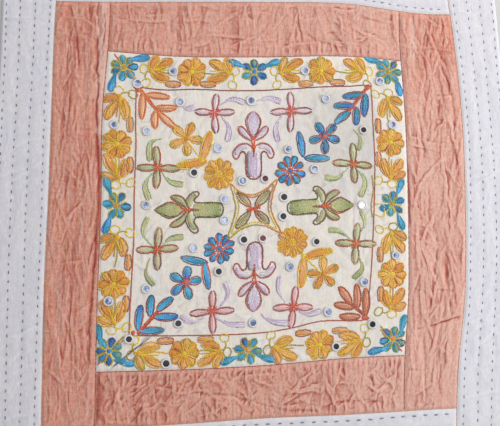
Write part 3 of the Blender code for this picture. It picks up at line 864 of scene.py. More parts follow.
# each slot's gloss, how much cloth shows between its stitches, and its reels
threads = {
    "gold": {"gloss": 0.36, "thin": 0.03, "reels": {
        "gold": (240, 184, 28), "amber": (222, 146, 22), "straw": (240, 216, 104), "olive": (186, 166, 40),
        "orange": (242, 156, 52), "peach": (250, 188, 108), "yellow": (246, 214, 34)}},
    "blue": {"gloss": 0.34, "thin": 0.0, "reels": {
        "blue": (30, 130, 214), "teal": (30, 156, 184), "sky": (84, 194, 246), "ink": (48, 78, 148)}},
    "green": {"gloss": 0.40, "thin": 0.22, "reels": {
        "sage": (201, 200, 136), "leaf": (155, 171, 102), "lime": (158, 176, 74), "sand": (214, 196, 148),
        "mint": (196, 212, 160), "moss": (112, 100, 50)}},
    "lilac": {"gloss": 0.38, "thin": 0.35, "reels": {
        "lilac": (217, 197, 226), "mauve": (246, 206, 216), "blush": (248, 172, 170),
        "pearl": (234, 222, 238)}},
    "coral": {"gloss": 0.42, "thin": 0.25, "reels": {
        "coral": (232, 92, 50), "salmon": (252, 178, 114), "rust": (184, 92, 52), "rose": (190, 98, 92),
        "maroon": (152, 66, 60), "tan": (196, 146, 102), "brick": (186, 84, 54), "umber": (136, 96, 58),
        "flame": (232, 122, 56), "clay": (226, 124, 64)}},
    "white": {"gloss": 0.55, "reels": {"white": (236, 235, 236)}},
    "slate": {"gloss": 0.6, "reels": {"grey": (124, 126, 142), "slate": (142, 140, 157)}},
}
threadMaterials = {kind: makeThread("thread_" + kind, look["gloss"]) for kind, look in threads.items()}
slotOf = {reel: kind for kind, look in threads.items() for reel in look["reels"]}

# One link of chain stitch lies along +X, its tail tucked under the link behind.
link = {"long": 4.2, "wide": 2.9, "high": 0.74, "pitch": 2.95}


def clearSelection():
    if bpy.context.mode != "OBJECT":
        bpy.ops.object.mode_set(mode="OBJECT")
    bpy.ops.object.select_all(action="DESELECT")


def selectWhere(obj, test):
    # in edit mode: selects the vertices that pass the test
    shape = bmesh.from_edit_mesh(obj.data)
    for vertex in shape.verts:
        vertex.select_set(bool(test(vertex.co)))
    shape.select_flush(True)
    bmesh.update_edit_mesh(obj.data)


def selectTop(obj):
    # in edit mode: selects the faces that look straight up
    bpy.ops.mesh.select_all(action="DESELECT")
    bpy.ops.mesh.select_mode(type="FACE")
    shape = bmesh.from_edit_mesh(obj.data)
    for face in shape.faces:
        face.select_set(face.normal.z > 0.99)
    bmesh.update_edit_mesh(obj.data)


def takePattern(obj, darken=()):
    # the finished shape as arrays in millimetres, and the object is cleared away
    bpy.ops.object.mode_set(mode="OBJECT")
    bpy.ops.object.transform_apply(location=True, rotation=True, scale=True)
    mesh = obj.data
    points = np.array([vertex.co for vertex in mesh.vertices]) / mm
    faces = [list(face.vertices) for face in mesh.polygons]
    around = np.array([corner.uv for corner in mesh.uv_layers.active.data]) if mesh.uv_layers else None
    bpy.data.objects.remove(obj)
    tone = np.ones(len(points))
    for radius, share in darken:
        tone[np.hypot(points[:, 0], points[:, 1]) < radius] = share
    return {"points": points, "faces": faces, "around": around, "tone": tone}


def makeLink():
    clearSelection()
    bpy.ops.mesh.primitive_cone_add(vertices=8, radius1=0.5 * mm, radius2=0.33 * mm, depth=link["high"] * mm)
    obj = bpy.context.active_object
    bpy.ops.object.mode_set(mode="EDIT")
    selectTop(obj)
    bpy.ops.mesh.poke()
    bpy.ops.mesh.select_mode(type="VERT")
    selectWhere(obj, lambda place: math.hypot(place.x, place.y) < 0.05 * mm and place.z > 0)
    bpy.ops.transform.translate(value=(0, 0, -0.3 * link["high"] * mm))     # the eye of the loop
    bpy.ops.mesh.select_all(action="SELECT")
    bpy.ops.transform.resize(value=(link["long"], link["wide"], 1))
    selectWhere(obj, lambda place: place.x < -0.2 * link["long"] * mm)
    bpy.ops.transform.resize(value=(1, 0.74, 1))
    bpy.ops.transform.translate(value=(0, 0, -0.16 * mm))
    selectWhere(obj, lambda place: place.x > 0.3 * link["long"] * mm)
    bpy.ops.transform.translate(value=(0, 0, 0.12 * mm))
    # painted shade in the eye of the loop
    return takePattern(obj, darken=((0.2, 0.86),))


def makeStitch():
    clearSelection()
    bpy.ops.mesh.primitive_uv_sphere_add(segments=6, ring_count=4, radius=0.5 * mm,
                                         rotation=(0, math.pi / 2, 0))
    obj = bpy.context.active_object
    bpy.ops.object.transform_apply(location=True, rotation=True, scale=True)
    bpy.ops.object.mode_set(mode="EDIT")
    bpy.ops.mesh.select_all(action="SELECT")
    bpy.ops.transform.resize(value=(quilting["stitch"], quilting["thick"], quilting["high"]))
    selectWhere(obj, lambda place: abs(place.x) > 0.45 * quilting["stitch"] * mm)
    bpy.ops.transform.translate(value=(0, 0, -0.35 * mm))        # both ends go down into the cloth
    return takePattern(obj)


linkPattern = makeLink()
stitchPattern = makeStitch()
print("one link has", len(linkPattern["faces"]), "faces, one running stitch", len(stitchPattern["faces"]))


def colourOf(reel, lighten=0.0):
    return np.array(dyed(threads[slotOf[reel]]["reels"][reel])[:3]) * (1 + lighten)


def copyPattern(pattern, places, headings, pitches, sizes, dyes, cells=(0, 0, 1, 1)):
    # joined copies: places in mm, headings and pitches in radians, one dye each; cells is the part of the
    # bake map that they share: left, bottom, right, top
    points = pattern["points"]
    count, each = len(places), len(points)
    turned = points[None] * sizes
    lifted = turned[:, :, 2] + np.sin(pitches)[:, None] * turned[:, :, 0]
    cos, sin = np.cos(headings)[:, None], np.sin(headings)[:, None]
    x = turned[:, :, 0] * cos - turned[:, :, 1] * sin + places[:, 0:1]
    y = turned[:, :, 0] * sin + turned[:, :, 1] * cos + places[:, 1:2]
    z = lifted + places[:, 2:3]
    corners = np.concatenate([np.array(face) for face in pattern["faces"]])
    sizesOf = [len(face) for face in pattern["faces"]]
    allCorners = (corners[None] + (np.arange(count) * each)[:, None]).reshape(-1)
    across = max(math.ceil(math.sqrt(count)), 1)
    down = max(math.ceil(count / across), 1)
    left, bottom, right, top = cells
    cell = np.stack([np.arange(count) % across, np.arange(count) // across], 1)
    size = np.array([(right - left) / across, (top - bottom) / down])
    around = pattern["around"]
    bake = np.array([left, bottom]) + (cell[:, None] + 0.08 + 0.84 * around[None]) * size
    shift = np.stack([np.arange(count) * 0.37, np.arange(count) * 2.9], 1)
    strand = around[None] * np.array([2.0, 3.0]) + shift[:, None]
    return {"points": np.stack([x, y, z], 2).reshape(-1, 3), "corners": allCorners, "counts": sizesOf * count,
            "strand": strand.reshape(-1, 2), "bake": bake.reshape(-1, 2),
            "dye": (dyes[:, None] * pattern["tone"][None, :, None]).reshape(-1, 3)}


def joinParts(name, kind, parts):
    # one mesh from several sets of arrays
    def whole(key):
        return np.concatenate([part[key] for part in parts])

    starts = np.cumsum([0] + [len(part["points"]) for part in parts])
    corners = np.concatenate([part["corners"] + start for part, start in zip(parts, starts)])
    points, counts = whole("points") * mm, whole("counts")
    mesh = bpy.data.meshes.new(name)
    mesh.vertices.add(len(points))
    mesh.vertices.foreach_set("co", points.astype(np.float32).ravel())
    mesh.loops.add(len(corners))
    mesh.loops.foreach_set("vertex_index", corners.astype(np.int32))
    mesh.polygons.add(len(counts))
    mesh.polygons.foreach_set("loop_start", np.concatenate([[0], np.cumsum(counts)[:-1]]).astype(np.int32))
    mesh.polygons.foreach_set("use_smooth", counts <= 4)    # flat below, so that the sides catch the light
    mesh.update(calc_edges=True)
    for title, key in (("OFBake", "bake"), ("strand", "strand")):
        mesh.uv_layers.new(name=title).uv.foreach_set("vector", whole(key).astype(np.float32).ravel())
    colour = mesh.attributes.new("dye", "FLOAT_COLOR", "POINT")
    full = np.concatenate([whole("dye"), np.ones((len(points), 1))], 1)
    colour.data.foreach_set("color", full.astype(np.float32).ravel())
    mesh.validate()
    mesh.materials.append(threadMaterials[kind])
    piece = addObject(name, mesh)
    bpy.context.view_layer.objects.active = piece
    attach(piece, "root")
    "thread_" + kind
    print(name, "has", int((counts - 2).sum()), "triangles")


# Embroidery is drawn on the panel in millimetres from the middle of its pattern, then laid with the cloth.

patternMiddle = (-5.0, 0.0)
fadesFrom = 0.35    # the share of a line where it starts to fade into another reel
chains = {kind: [] for kind in threads}     # each slot's links: place, heading, size, colour
fills = {kind: [] for kind in threads}      # each slot's close-worked patches


def onPanel(points):
    # from the drawing to the top of the cloth
    across = np.clip(points[..., 0] + patternMiddle[0], -panelWide + 0.2, panelWide - 0.2)
    along = np.clip(points[..., 1] + patternMiddle[1], -panelLong + 0.2, panelLong - 0.2)
    x, y, z = topHeight(panel, across, along)
    return np.stack([x, y, z], -1)


def curved(points, closed=False, steps=6):
    # a smooth line through a few points
    points = np.array(points, float)
    count = len(points)
    share = np.linspace(0, 1, steps, endpoint=False)[:, None]
    line = []
    for here in range(count if closed else count - 1):
        nearby = here + np.arange(-1, 3)
        nearby = nearby % count if closed else np.clip(nearby, 0, count - 1)
        line.append(through(*points[nearby], share))
    if not closed:
        line.append(points[-1:])
    return np.concatenate(line)


def evenly(points, pitch, closed):
    # points every pitch along a line, and how far along it each lies, 0 to 1
    line = np.concatenate([points, points[:1]]) if closed else points
    lengths = np.concatenate([[0], np.cumsum(np.hypot(*np.diff(line, axis=0).T))])
    count = max(int(round(lengths[-1] / pitch)), 1)
    wanted = np.linspace(0, lengths[-1], count + 1)
    wanted = wanted[:-1] if closed else wanted
    places = np.stack([np.interp(wanted, lengths, side) for side in line.T], 1)
    return places, wanted / lengths[-1]


def bandEdges(line, halfWide):
    # the two edges of a band along a line
    ahead = np.gradient(line, axis=0)
    ahead = ahead / np.hypot(*ahead.T)[:, None]
    out = np.stack([-ahead[:, 1], ahead[:, 0]], 1) * halfWide[:, None]
    return line + out, line - out


def chain(points, reel, closed=False, size=1.0, other=None, swap=(0.3, 0.7), into=None, lift=0.0, slip=0.16):
    # chain stitch along a line; between the swap shares it is worked in the other reel, or it fades into one
    places, share = evenly(np.array(points, float), link["pitch"] * size, closed)
    places = places + dice.normal(0, slip, places.shape)
    laid = onPanel(places)
    laid[:, 2] += lift
    ahead = np.roll(laid, -1, axis=0) - np.roll(laid, 1, axis=0) if closed else np.gradient(laid, axis=0)
    heading = np.arctan2(ahead[:, 1], ahead[:, 0])
    for place, angle, at in zip(laid, heading, share):
        used = other if other and swap[0] < at < swap[1] else reel
        colour = colourOf(used)
        if into and at > fadesFrom:
            part = (at - fadesFrom) / (1 - fadesFrom)
            colour = colour * (1 - part) + colourOf(into) * part
        chains[slotOf[used]].append((*place, angle, size, *(colour * (1 + dice.normal(0, 0.08)))))


def patch(left, right, reels, rise=0.4, across=4):
    # a low close-worked patch between two edges that run from root to tip, fading from reel to reel
    count = len(left)
    side = np.linspace(0, 1, across + 1)
    flat = left[:, None] * (1 - side)[None, :, None] + right[:, None] * side[None, :, None]
    ends = np.stack([(left[0] + right[0]) / 2 * 1.5 - (left[1] + right[1]) / 4,
                     (left[-1] + right[-1]) / 2 * 1.5 - (left[-2] + right[-2]) / 4])
    laid = onPanel(np.concatenate([ends[:1], flat.reshape(-1, 2), ends[1:]]))
    s, w = np.meshgrid(np.linspace(0.08, 0.92, count), side * 2 - 1, indexing="ij")
    dome = (1 - w ** 2) ** 0.6 * np.sin(math.pi * s) ** 0.35
    laid[1:-1, 2] += 0.1 + rise * dome.ravel() + dice.normal(0, 0.04, dome.size)
    laid[[0, -1], 2] += 0.08
    number = 1 + np.arange(count * (across + 1)).reshape(count, across + 1)
    last = int(number[-1, -1]) + 1
    faces = [[0, int(number[0, k]), int(number[0, k + 1])] for k in range(across)]
    for k in range(count - 1):
        faces += [[int(number[k, j]), int(number[k + 1, j]), int(number[k + 1, j + 1]), int(number[k, j + 1])]
                  for j in range(across)]
    faces += [[last, int(number[-1, k + 1]), int(number[-1, k])] for k in range(across)]
    faces.append([0] + [int(n) for n in number[::-1, -1][::-1]] + [last] + [int(n) for n in number[::-1, 0]])
    centre = (left + right) / 2
    length = np.hypot(*np.diff(centre, axis=0).T).sum()
    width = np.hypot(*(left - right).T).max()
    shares = np.concatenate([[0], s.ravel(), [1]])
    sides = np.concatenate([[0], w.ravel(), [0]])
    kind = slotOf[reels[0]]
    thin = threads[kind]["thin"] if rise < 0.8 else 0.0
    cloth = np.array(dyed(cottons["cream"]["plain"])[:3])
    first, second = (colourOf(reel, dice.normal(0, 0.06)) * (1 - thin) + cloth * thin for reel in reels)
    blend = smooth(shares * 1.3 - 0.15)[:, None]
    dye = (first * (1 - blend) + second * blend) * (1 + dice.normal(0, 0.06, (len(shares), 1)))
    fills[kind].append({"points": laid, "faces": faces, "dye": dye,
                        "strand": np.stack([sides * width / 2 / 0.62, shares * length], 1),
                        "flat": np.stack([shares, sides / 2 + 0.5], 1)})


def workIn(left, right, reels, margin=1.5, lines=None, rise=0.4):
    # fills the room between two edges: a low patch with rows of chain stitch on it
    middle = (left + right) / 2
    halfWide = np.hypot(*(left - right).T) / 2
    shrink = np.clip(1 - margin / np.maximum(halfWide, 0.1), 0.2, 1)[:, None]
    left, right = middle + (left - middle) * shrink, middle + (right - middle) * shrink
    patch(left[1:-1], right[1:-1], reels, rise)
    room = 2 * (halfWide.max() - margin)
    lines = max(round(room / 2.3), 1) if lines is None else lines
    for line in range(lines):
        side = (2 * line + 1) / lines - 1
        start = int(len(left) * (0.12 + 0.10 * abs(side)))
        end = len(left) - start
        row = (middle + (right - left) / 2 * side * 0.86)[start:end]
        if len(row) > 2:
            chain(row, reels[0], size=0.78, into=reels[1], lift=rise * 0.5 - 0.05, slip=0.3)


def leafEdge(leaf, share, side):
    # share runs from root to tip and side from -1 to 1 across
    run = leaf["tip"] - leaf["root"]
    length = math.hypot(*run)
    beside = np.array([-run[1], run[0]]) / length
    swell = np.clip(share, 0, 1) ** (math.log(0.5) / math.log(leaf["fat"]))
    halfWide = leaf["wide"] / 2 * np.abs(np.sin(math.pi * swell)) ** leaf["blunt"]
    bow = leaf["bend"] * 4 * share * (1 - share)
    return leaf["root"] + run * share[..., None] + beside * (bow + halfWide * side)[..., None]


def makeLeaf(root, tip, wide, fat=0.58, blunt=0.6, bend=0.0):
    root, tip = np.array(root, float), np.array(tip, float)
    return {"root": root, "tip": tip, "wide": wide, "fat": fat, "blunt": blunt, "bend": bend}


def petal(root, tip, wide, inside, edge, fat=0.6, blunt=0.55, bend=0.0, other=None, swap=(0.3, 0.7),
          core=None, size=0.9, lines=None, margin=1.5):
    # an outlined petal or leaf, worked solid inside; fat is where it is widest, blunt how full its ends are
    leaf = makeLeaf(root, tip, wide, fat, blunt, bend)
    share = (1 - np.cos(np.linspace(0, math.pi, 13))) / 2
    up = leafEdge(leaf, share, np.ones(13))
    down = leafEdge(leaf, share, -np.ones(13))
    if inside:
        workIn(up, down, inside, margin=margin, lines=lines)
    if edge:
        chain(np.concatenate([up, down[-2:0:-1]]), edge, closed=True, size=size, other=other, swap=swap)
    if core:
        chain(leafEdge(leaf, np.array([0.12, 0.45, 0.78]), np.zeros(3)), core, size=size * 0.85, lift=0.25)


def polar(middle, angle, distance):
    angle = math.radians(angle)
    return (middle[0] + math.cos(angle) * distance, middle[1] + math.sin(angle) * distance)


def spoke(middle, angle, near, far):
    # both ends of a line that runs out from the middle
    return polar(middle, angle, near), polar(middle, angle, far)


def ring(middle, radius, step, reel, size, lift=0.0):
    around = [polar(middle, angle, radius) for angle in range(0, 360, step)]
    chain(around, reel, closed=True, size=size, lift=lift)


def knot(middle, size, reel):
    # a raised dot of close stitches
    share = np.linspace(0.06, 0.94, 6)
    leaf = makeLeaf((middle[0] - size, middle[1]), (middle[0] + size, middle[1]), size * 2, 0.5, 0.5)
    patch(leafEdge(leaf, share, np.ones(6)), leafEdge(leaf, share, -np.ones(6)), (reel, reel), rise=0.9)
    ring(middle, size * 0.78, 40, reel, 0.72, 0.1)


def pick(names):
    return names[int(dice.integers(len(names)))]


# Flowers of the inner field

def roundFlower(middle, count, radius, kind):
    looks = {
        "gold": {"inside": (("orange", "gold"), ("gold", "peach"), ("amber", "gold")),
                 "edge": ("gold", "amber", "gold")},
        "blue": {"inside": (("sky", "teal"), ("teal", "sky"), ("blue", "teal"), ("sky", "blue")),
                 "edge": ("coral", "ink", "coral", "maroon")},
    }[kind]
    start = dice.uniform(0, 360 / count)
    for number in range(count):
        angle = start + number * 360 / count + dice.uniform(-4, 4)
        reach = radius * dice.uniform(0.93, 1.05)
        if kind == "gold":
            petal(*spoke(middle, angle, 5.5, reach), 100 / count, pick(looks["inside"]),
                  looks["edge"][number % 3], fat=0.66, blunt=0.42, size=0.9, lines=1)
        else:
            petal(*spoke(middle, angle, 7, reach), 84 / count, pick(looks["inside"]),
                  looks["edge"][number % 4], fat=0.66, blunt=0.5, size=0.62, other=pick(("ink", "maroon")),
                  swap=(0.35, 0.65), lines=1, margin=0.9)
            chain(spoke(middle, angle + 180 / count, 4, 10), pick(("coral", "coral", "maroon")), size=0.7)
    if kind == "gold":
        ring(middle, 6.2, 30, "amber", 0.85)
        ring(middle, 3.6, 45, "yellow", 0.8)
        knot(middle, 2.4, "gold")
    else:
        knot(middle, 2.4, "blue")
        ring(middle, 4.2, 60, "coral", 0.62)


def starFlower(middle, faces, kind, reach=22.5):
    # five long petals; faces is the side that its two leaves come from
    looks = {
        "gold": {"inside": (("orange", "amber"), ("amber", "orange"), ("peach", "gold")),
                 "edge": ("gold", "amber", "gold"), "other": "olive", "lines": 2, "heart": "amber"},
        "blue": {"inside": (("blue", "sky"), ("sky", "teal"), ("sky", "blue")),
                 "edge": ("maroon", "ink", "rose"), "other": "grey", "lines": 1, "heart": "coral"},
        "deep": {"inside": (("sky", "ink"), ("teal", "ink"), ("blue", "teal")),
                 "edge": ("maroon", "ink", "rose"), "other": "grey", "lines": 1, "heart": "coral"},
    }[kind]
    for spread in (-112, -38, 36, 108, 180):
        angle = faces + spread + dice.uniform(-6, 6)
        petal(*spoke(middle, angle, 3.0, reach * dice.uniform(0.92, 1.05)), 10.8, pick(looks["inside"]),
              pick(looks["edge"]), fat=0.62, blunt=0.45, other=looks["other"], size=0.82,
              lines=looks["lines"])
    knot(middle, 3.4, looks["heart"])
    if kind != "gold":
        for angle in range(20, 380, 45):
            chain(spoke(middle, angle, 2, 7), pick(("coral", "maroon")), size=0.66, lift=0.2)


for middle, count, kind in (((-48, 48), 10, "gold"), ((47, 49), 9, "blue"), ((-47, -52), 10, "blue"),
                            ((50, -47), 11, "gold")):
    roundFlower(middle, count, 20.5, kind)

for middle, faces, kind in (((-91, 96), -44, "gold"), ((95, 94.5), 231, "deep"), ((-90, -95), 44, "blue"),
                            ((92, -93), 134, "gold")):
    starFlower(middle, faces, kind)

veeLeaves = (  # root, tip, colour
    ((-70, 68), (-59, 106), "gold"), ((-65, 66), (-103, 59), "gold"),
    ((65, 68), (59, 103), "blue"), ((67, 66), (101, 64), "blue"),
    ((-62, -70), (-96, -62), "blue"), ((-65, -69), (-59, -105), "blue"),
    ((65, -69), (62, -109), "gold"), ((67, -69), (104, -62), "gold"),
)
for number, (root, tip, kind) in enumerate(veeLeaves):
    if kind == "gold":
        petal(root, tip, 12.5, ("orange", "gold") if number % 2 else ("peach", "orange"), "gold", fat=0.5,
              blunt=0.42, bend=dice.uniform(-1, 1), other="yellow")
    else:
        petal(root, tip, 10, pick((("sky", "blue"), ("teal", "sky"))), pick(("ink", "coral")), fat=0.5,
              blunt=0.5, bend=dice.uniform(-1, 1), other="grey", lines=2, size=0.8)
for root, tip in (((-70, 66), (-86, 88)), ((65, -67), (84, -86))):    # yellow, where a pair of leaves meets
    chain((root, tip), "yellow", size=0.9)
    knot(root, 3.0, "yellow")

# The middle flower in its four-pointed star
for tip, shade in (((-24, 22), ("sage", "moss")), ((19, 23), ("sage", "leaf")),
                   ((-25, -25), ("leaf", "sage")), ((18, -20), ("moss", "sage"))):
    petal((-3 + tip[0] * 0.14, tip[1] * 0.14), tip, 11, shade, pick(("umber", "rust")), fat=0.55, blunt=0.55,
          other="umber", size=0.9, lines=2, core="tan", margin=2.0)
for rise in (-1.3, 0.9):
    chain(((-10, rise - 1.5), (5, rise + 2)), "coral", size=0.9, lift=0.5)
starPath = curved(((-33, 34), (-20, 23), (-3, 19), (14, 26), (29, 38), (23, 18), (21, 0), (26, -16),
                   (34, -33), (14, -24), (-3, -22), (-20, -28), (-36, -39), (-30, -18), (-26, 1), (-29, 18)),
                  closed=True)
for grow, reel, other, swap in ((1.0, "amber", "olive", (0.6, 0.98)), (0.83, "straw", "tan", (0.02, 0.4))):
    chain(starPath * grow, reel, closed=True, size=0.92, other=other, swap=swap)


# Four-petalled flowers, green at the sides and rose at top and bottom
def crossFlower(middle, kind, reach=27.5):
    for angle in (0, 90, 180, 270):
        angle += dice.uniform(-6, 6)
        ends = spoke(middle, angle, 2, reach * dice.uniform(0.93, 1.06))
        if kind == "green":
            petal(*ends, 9.4, (pick(("sage", "sand", "mint")), pick(("sand", "mint", "leaf"))),
                  pick(("umber", "rust", "umber")), fat=0.55, blunt=0.42, other=pick(("rust", "tan", None)),
                  size=0.85, lines=1, margin=1.2)
        else:
            petal(*ends, 9.0, ("mauve", "pearl") if middle[1] > 0 else ("blush", "mauve"), "rose", fat=0.58,
                  blunt=0.45, other=pick((None, "maroon")), size=0.85, lines=1, margin=1.0)
    knot(middle, 2.6, "coral")
    for angle in (8, 45, 100, 135, 180, 225, 262, 315):
        chain(spoke(middle, angle, 1, dice.uniform(4.5, 8)), "coral", size=0.75, lift=0.2)


for place in ((-128, 56), (134, 56), (136, -54), (-127, -52)):
    crossFlower(place, "green")
for place in ((-54, 131), (50, 132), (53, -134), (-54, -134)):
    crossFlower(place, "rose")

# Tulips point outwards. Their halves are drawn from the knot: toward the middle of the quilt, then sideways.
tulipShapes = {
    "green": {"body": ((-1, 3), (-4, 7), (-4.5, 13), (-1, 19), (4.5, 23.5), (9.5, 24.5), (12, 21.5),
                       (9, 17.5), (6.5, 14), (7.5, 10.5), (12, 9.6), (30, 9.8), (39, 8.6), (43, 5), (44, 0)),
              "hook": ((-1, 4), (0.5, 11), (3, 17), (9, 21.5)), "hookWide": 7.5,
              "bud": ((-7, 0), (-13, 5.5), (-19, 9.0), (-26, 10.6), (-33, 8), (-40, 4), (-45, 0)),
              "side": ((-3, 2), (-24, 18)), "sideBend": -3.5, "inside": ("sage", "leaf"), "edge": "umber",
              "other": "moss", "budOther": "rust", "wedge": "umber"},
    "lilac": {"body": ((-1, 2), (-5, 8), (-5.5, 14), (-3.5, 20), (2, 25), (8, 27.5), (13.5, 26), (14, 21.5),
                       (9, 18.5), (5.5, 16), (6, 12.5), (9, 10.6), (16, 10.3), (30, 10.3), (36, 9), (40, 5.5),
                       (41.5, 0)),
              "hook": ((0, 6), (-1, 14), (3, 21), (10, 24)), "hookWide": 7,
              "bud": ((-13, 0), (-20, 4.5), (-28, 8.5), (-36, 10.3), (-42, 8), (-47, 4), (-49, 0)),
              "side": ((-10, 2), (-28, 19)), "sideBend": -1.0, "inside": ("pearl", "lilac"), "edge": "rose",
              "other": "maroon", "budOther": "maroon", "wedge": "brick"},
}


def tulip(knotAt, heading, kind, stretch=1.0, budStretch=1.0, droop=0.0):
    # droop lengthens the hook on the right hand as seen from the knot
    look = tulipShapes[kind]
    axis = np.array([math.cos(math.radians(heading)), math.sin(math.radians(heading))])
    beside = np.array([-axis[1], axis[0]])

    def put(table, way=1):
        table = np.array(table, float)
        forward = table[:, 0:1] * np.where(table[:, 0:1] > 0, stretch, budStretch)
        sideways = table[:, 1:2] + (way < 0) * droop * np.maximum(table[:, 1:2] - 10, 0)
        return np.array(knotAt) + axis * forward + beside * sideways * way

    inside = look["inside"]
    halves = [put(look["body"], way) for way in (1, -1)]
    outline = curved(np.concatenate([halves[0], halves[1][-2::-1]]), closed=False, steps=4)
    budEdges = [curved(put(look["bud"], way), steps=4) for way in (1, -1)]
    runs = np.linspace(2, look["body"][-1][0] - 0.5, 14)
    width = 10.3 * np.clip((look["body"][-1][0] - runs) / 8, 0, 1) ** 0.5 * np.clip(runs / 7, 0, 1) ** 0.6
    sides = [put(np.stack([runs, way * width], 1)) for way in (1, -1)]
    workIn(*sides, inside, margin=0.9, lines=0 if kind == "lilac" else None)
    if kind == "lilac":
        workIn(*sides, ("lilac", "lilac"), margin=4.2, rise=0.6)
    workIn(budEdges[0][::2], budEdges[1][::2], inside, margin=1.3)
    for way in (1, -1):
        line = curved(put(look["hook"], way), steps=3)
        swell = look["hookWide"] / 2 * np.sin(math.pi * np.linspace(0.12, 0.92, len(line))) ** 0.4
        workIn(*bandEdges(line, swell), inside, margin=0.1, lines=1)
        petal(*put(look["side"], way), 9.5, inside, look["edge"], fat=0.64, blunt=0.42,
              bend=look["sideBend"] * way, size=0.88, lines=1, other=pick(("rust", "rose")), margin=0.9)
    chain(outline, look["edge"], size=0.95, other=look["other"], swap=(0.25, 0.75))
    chain(np.concatenate([budEdges[0], budEdges[1][-2:0:-1]]), look["edge"], closed=True, size=0.92,
          other=look["budOther"], swap=(0.0, 0.3))
    for ends, reel, size, lift in ((((1, 0), (11, 0)), look["wedge"], 1.1, 0.35),     # a dark wedge
                                   (((1, 1.5), (7, 1.0)), "brick", 0.8, 0.35),
                                   (((-1, 0.5), (-11, 2.5)), "coral", 0.8, 0.3),
                                   (((-1, -0.5), (-11, -2.5)), "coral", 0.8, 0.3)):
        chain(put(ends), reel, size=size, lift=lift)
    knot(knotAt, 2.8, "coral")
    knot(put(((look["bud"][0][0] + 1, 0),))[0], 2.0, "coral")


tulip((-86.5, 0), 0, "green", 1.0, 1.0, 0.4)
tulip((91, -1), 180, "green", 1.09, 0.93, 0.2)
tulip((-2, 83), 270, "lilac", 1.04)
tulip((0, -87), 90, "lilac", 1.02)

# Corner sprigs: a diagonal stem with five leaves, coral at two corners and blue at the others
sprigs = (
    {"kind": "coral", "stem": ((-152, 160), (-126, 130)), "wide": 8.8, "second": "flame",
     "leaves": (((-145, 153), (-114, 151)), ((-131, 137), (-104, 138)), ((-149, 156), (-149, 120)),
                ((-131, 132), (-131, 108)), ((-127, 130), (-104, 110)))},
    {"kind": "deep", "stem": ((161, 167), (131, 130)), "second": "brick",
     "inside": (("blue", "teal"), ("teal", "sky"), ("teal", "blue")),
     "leaves": (((154, 155), (122, 150)), ((155, 155), (151, 123)), ((139, 137), (109, 137)),
                ((141, 136), (139, 111)), ((132, 130), (110, 113)))},
    {"kind": "blue", "stem": ((-148, -159), (-124, -131)), "second": "brick",
     "inside": (("sky", "sky"), ("sky", "teal"), ("sky", "blue")),
     "leaves": (((-148, -156), (-145, -124)), ((-148, -157), (-115, -156)), ((-133, -138), (-132, -111)),
                ((-128, -139), (-98, -139)), ((-124, -131), (-105, -115)))},
    {"kind": "clay", "stem": ((154, -157), (133, -138)), "wide": 9.8, "second": "brick",
     "leaves": (((151, -152), (150, -115)), ((139, -143), (137, -109)), ((131, -136), (114, -112)),
                ((134, -141), (108, -135)), ((144, -153), (116, -151)))},
)
for sprig in sprigs:
    kind, stem = sprig["kind"], np.array(sprig["stem"], float)
    for number, (root, tip) in enumerate(sprig["leaves"]):
        if "inside" in sprig:
            petal(root, tip, 10.2, pick(sprig["inside"]), pick(("rose", "maroon", "ink")), fat=0.5,
                  blunt=0.42, lines=2, size=0.8, other=pick(("grey", "ink")), swap=(0.35, 0.62),
                  bend=dice.uniform(-1, 1), margin=1.2)
        else:
            inside, edge = ("salmon", "flame") if kind == "coral" else ("clay", pick(("brick", "rust")))
            petal(root, tip, sprig["wide"], (inside, inside), edge, fat=0.50, blunt=0.46,
                  core="flame" if number == 1 else None, bend=dice.uniform(-1.5, 1.5), size=0.95, lines=1,
                  margin=1.0)
    chain(stem, {"clay": "brick", "coral": "flame"}.get(kind, "coral"), size=1.15)
    away = np.array([stem[1][1] - stem[0][1], stem[0][0] - stem[1][0]])
    chain(stem + away / math.hypot(*away) * 2.2, sprig["second"], size=1.05)

# Pale leaves, worked with no outline: start, middle, end, reel
secondReels = {"mint": "sage", "sage": "leaf", "lilac": "pearl", "pearl": "lilac"}
paleLeaves = (
    ((-133, 50), (-145, 33), (-139, 11), "mint"), ((-122, 50), (-112, 37), (-94, 33), "mint"),
    ((-122, 95), (-138, 88), (-139, 62), "mint"), ((-133, -47), (-146, -30), (-139, -8), "mint"),
    ((-121, -47), (-110, -38), (-92, -36), "mint"), ((-136, -64), (-140, -84), (-128, -100), "sage"),
    ((136, 52), (149, 33), (141, 9), "mint"), ((126, 50), (110, 37), (93, 40), "mint"),
    ((130, -49), (114, -36), (97, -33), "mint"), ((141, -42), (149, -25), (143, -8), "mint"),
    ((140, -70), (144, -88), (131, -102), "sage"), ((136, 104), (145, 92), (141, 74), "sage"),
    ((-46, 142), (-30, 149), (-12, 143), "lilac"), ((-45, 127), (-35, 110), (-38, 90), "lilac"),
    ((-98, 140), (-90, 136), (-80, 138), "lilac"), ((2, 146), (19, 150), (37, 143), "pearl"),
    ((38, 127), (28, 110), (31, 88), "pearl"), ((-48, -143), (-30, -152), (-8, -154), "lilac"),
    ((-44, -128), (-33, -112), (-38, -95), "lilac"), ((10, -140), (26, -152), (50, -156), "lilac"),
    ((60, -140), (74, -146), (92, -142), "lilac"), ((42, -127), (32, -110), (34, -90), "pearl"),
    ((-64, -142), (-80, -146), (-96, -138), "pearl"),
)
for start, middle, end, reel in paleLeaves:
    line = curved((start, middle, end), steps=5)
    swell = 4.4 * np.sin(math.pi * np.linspace(0.03, 0.94, len(line)) ** 2.2) ** 0.6
    left, right = bandEdges(line, swell)
    second = secondReels[reel]
    green = reel in ("mint", "sage")
    workIn(left, right, (reel, second), margin=0.6, lines=2, rise=0.25)
    chain(line[:4], second if green else reel, size=0.6)
    if dice.random() < 0.7:
        chain(left[3:-1], "leaf" if green else "lilac", size=0.55)

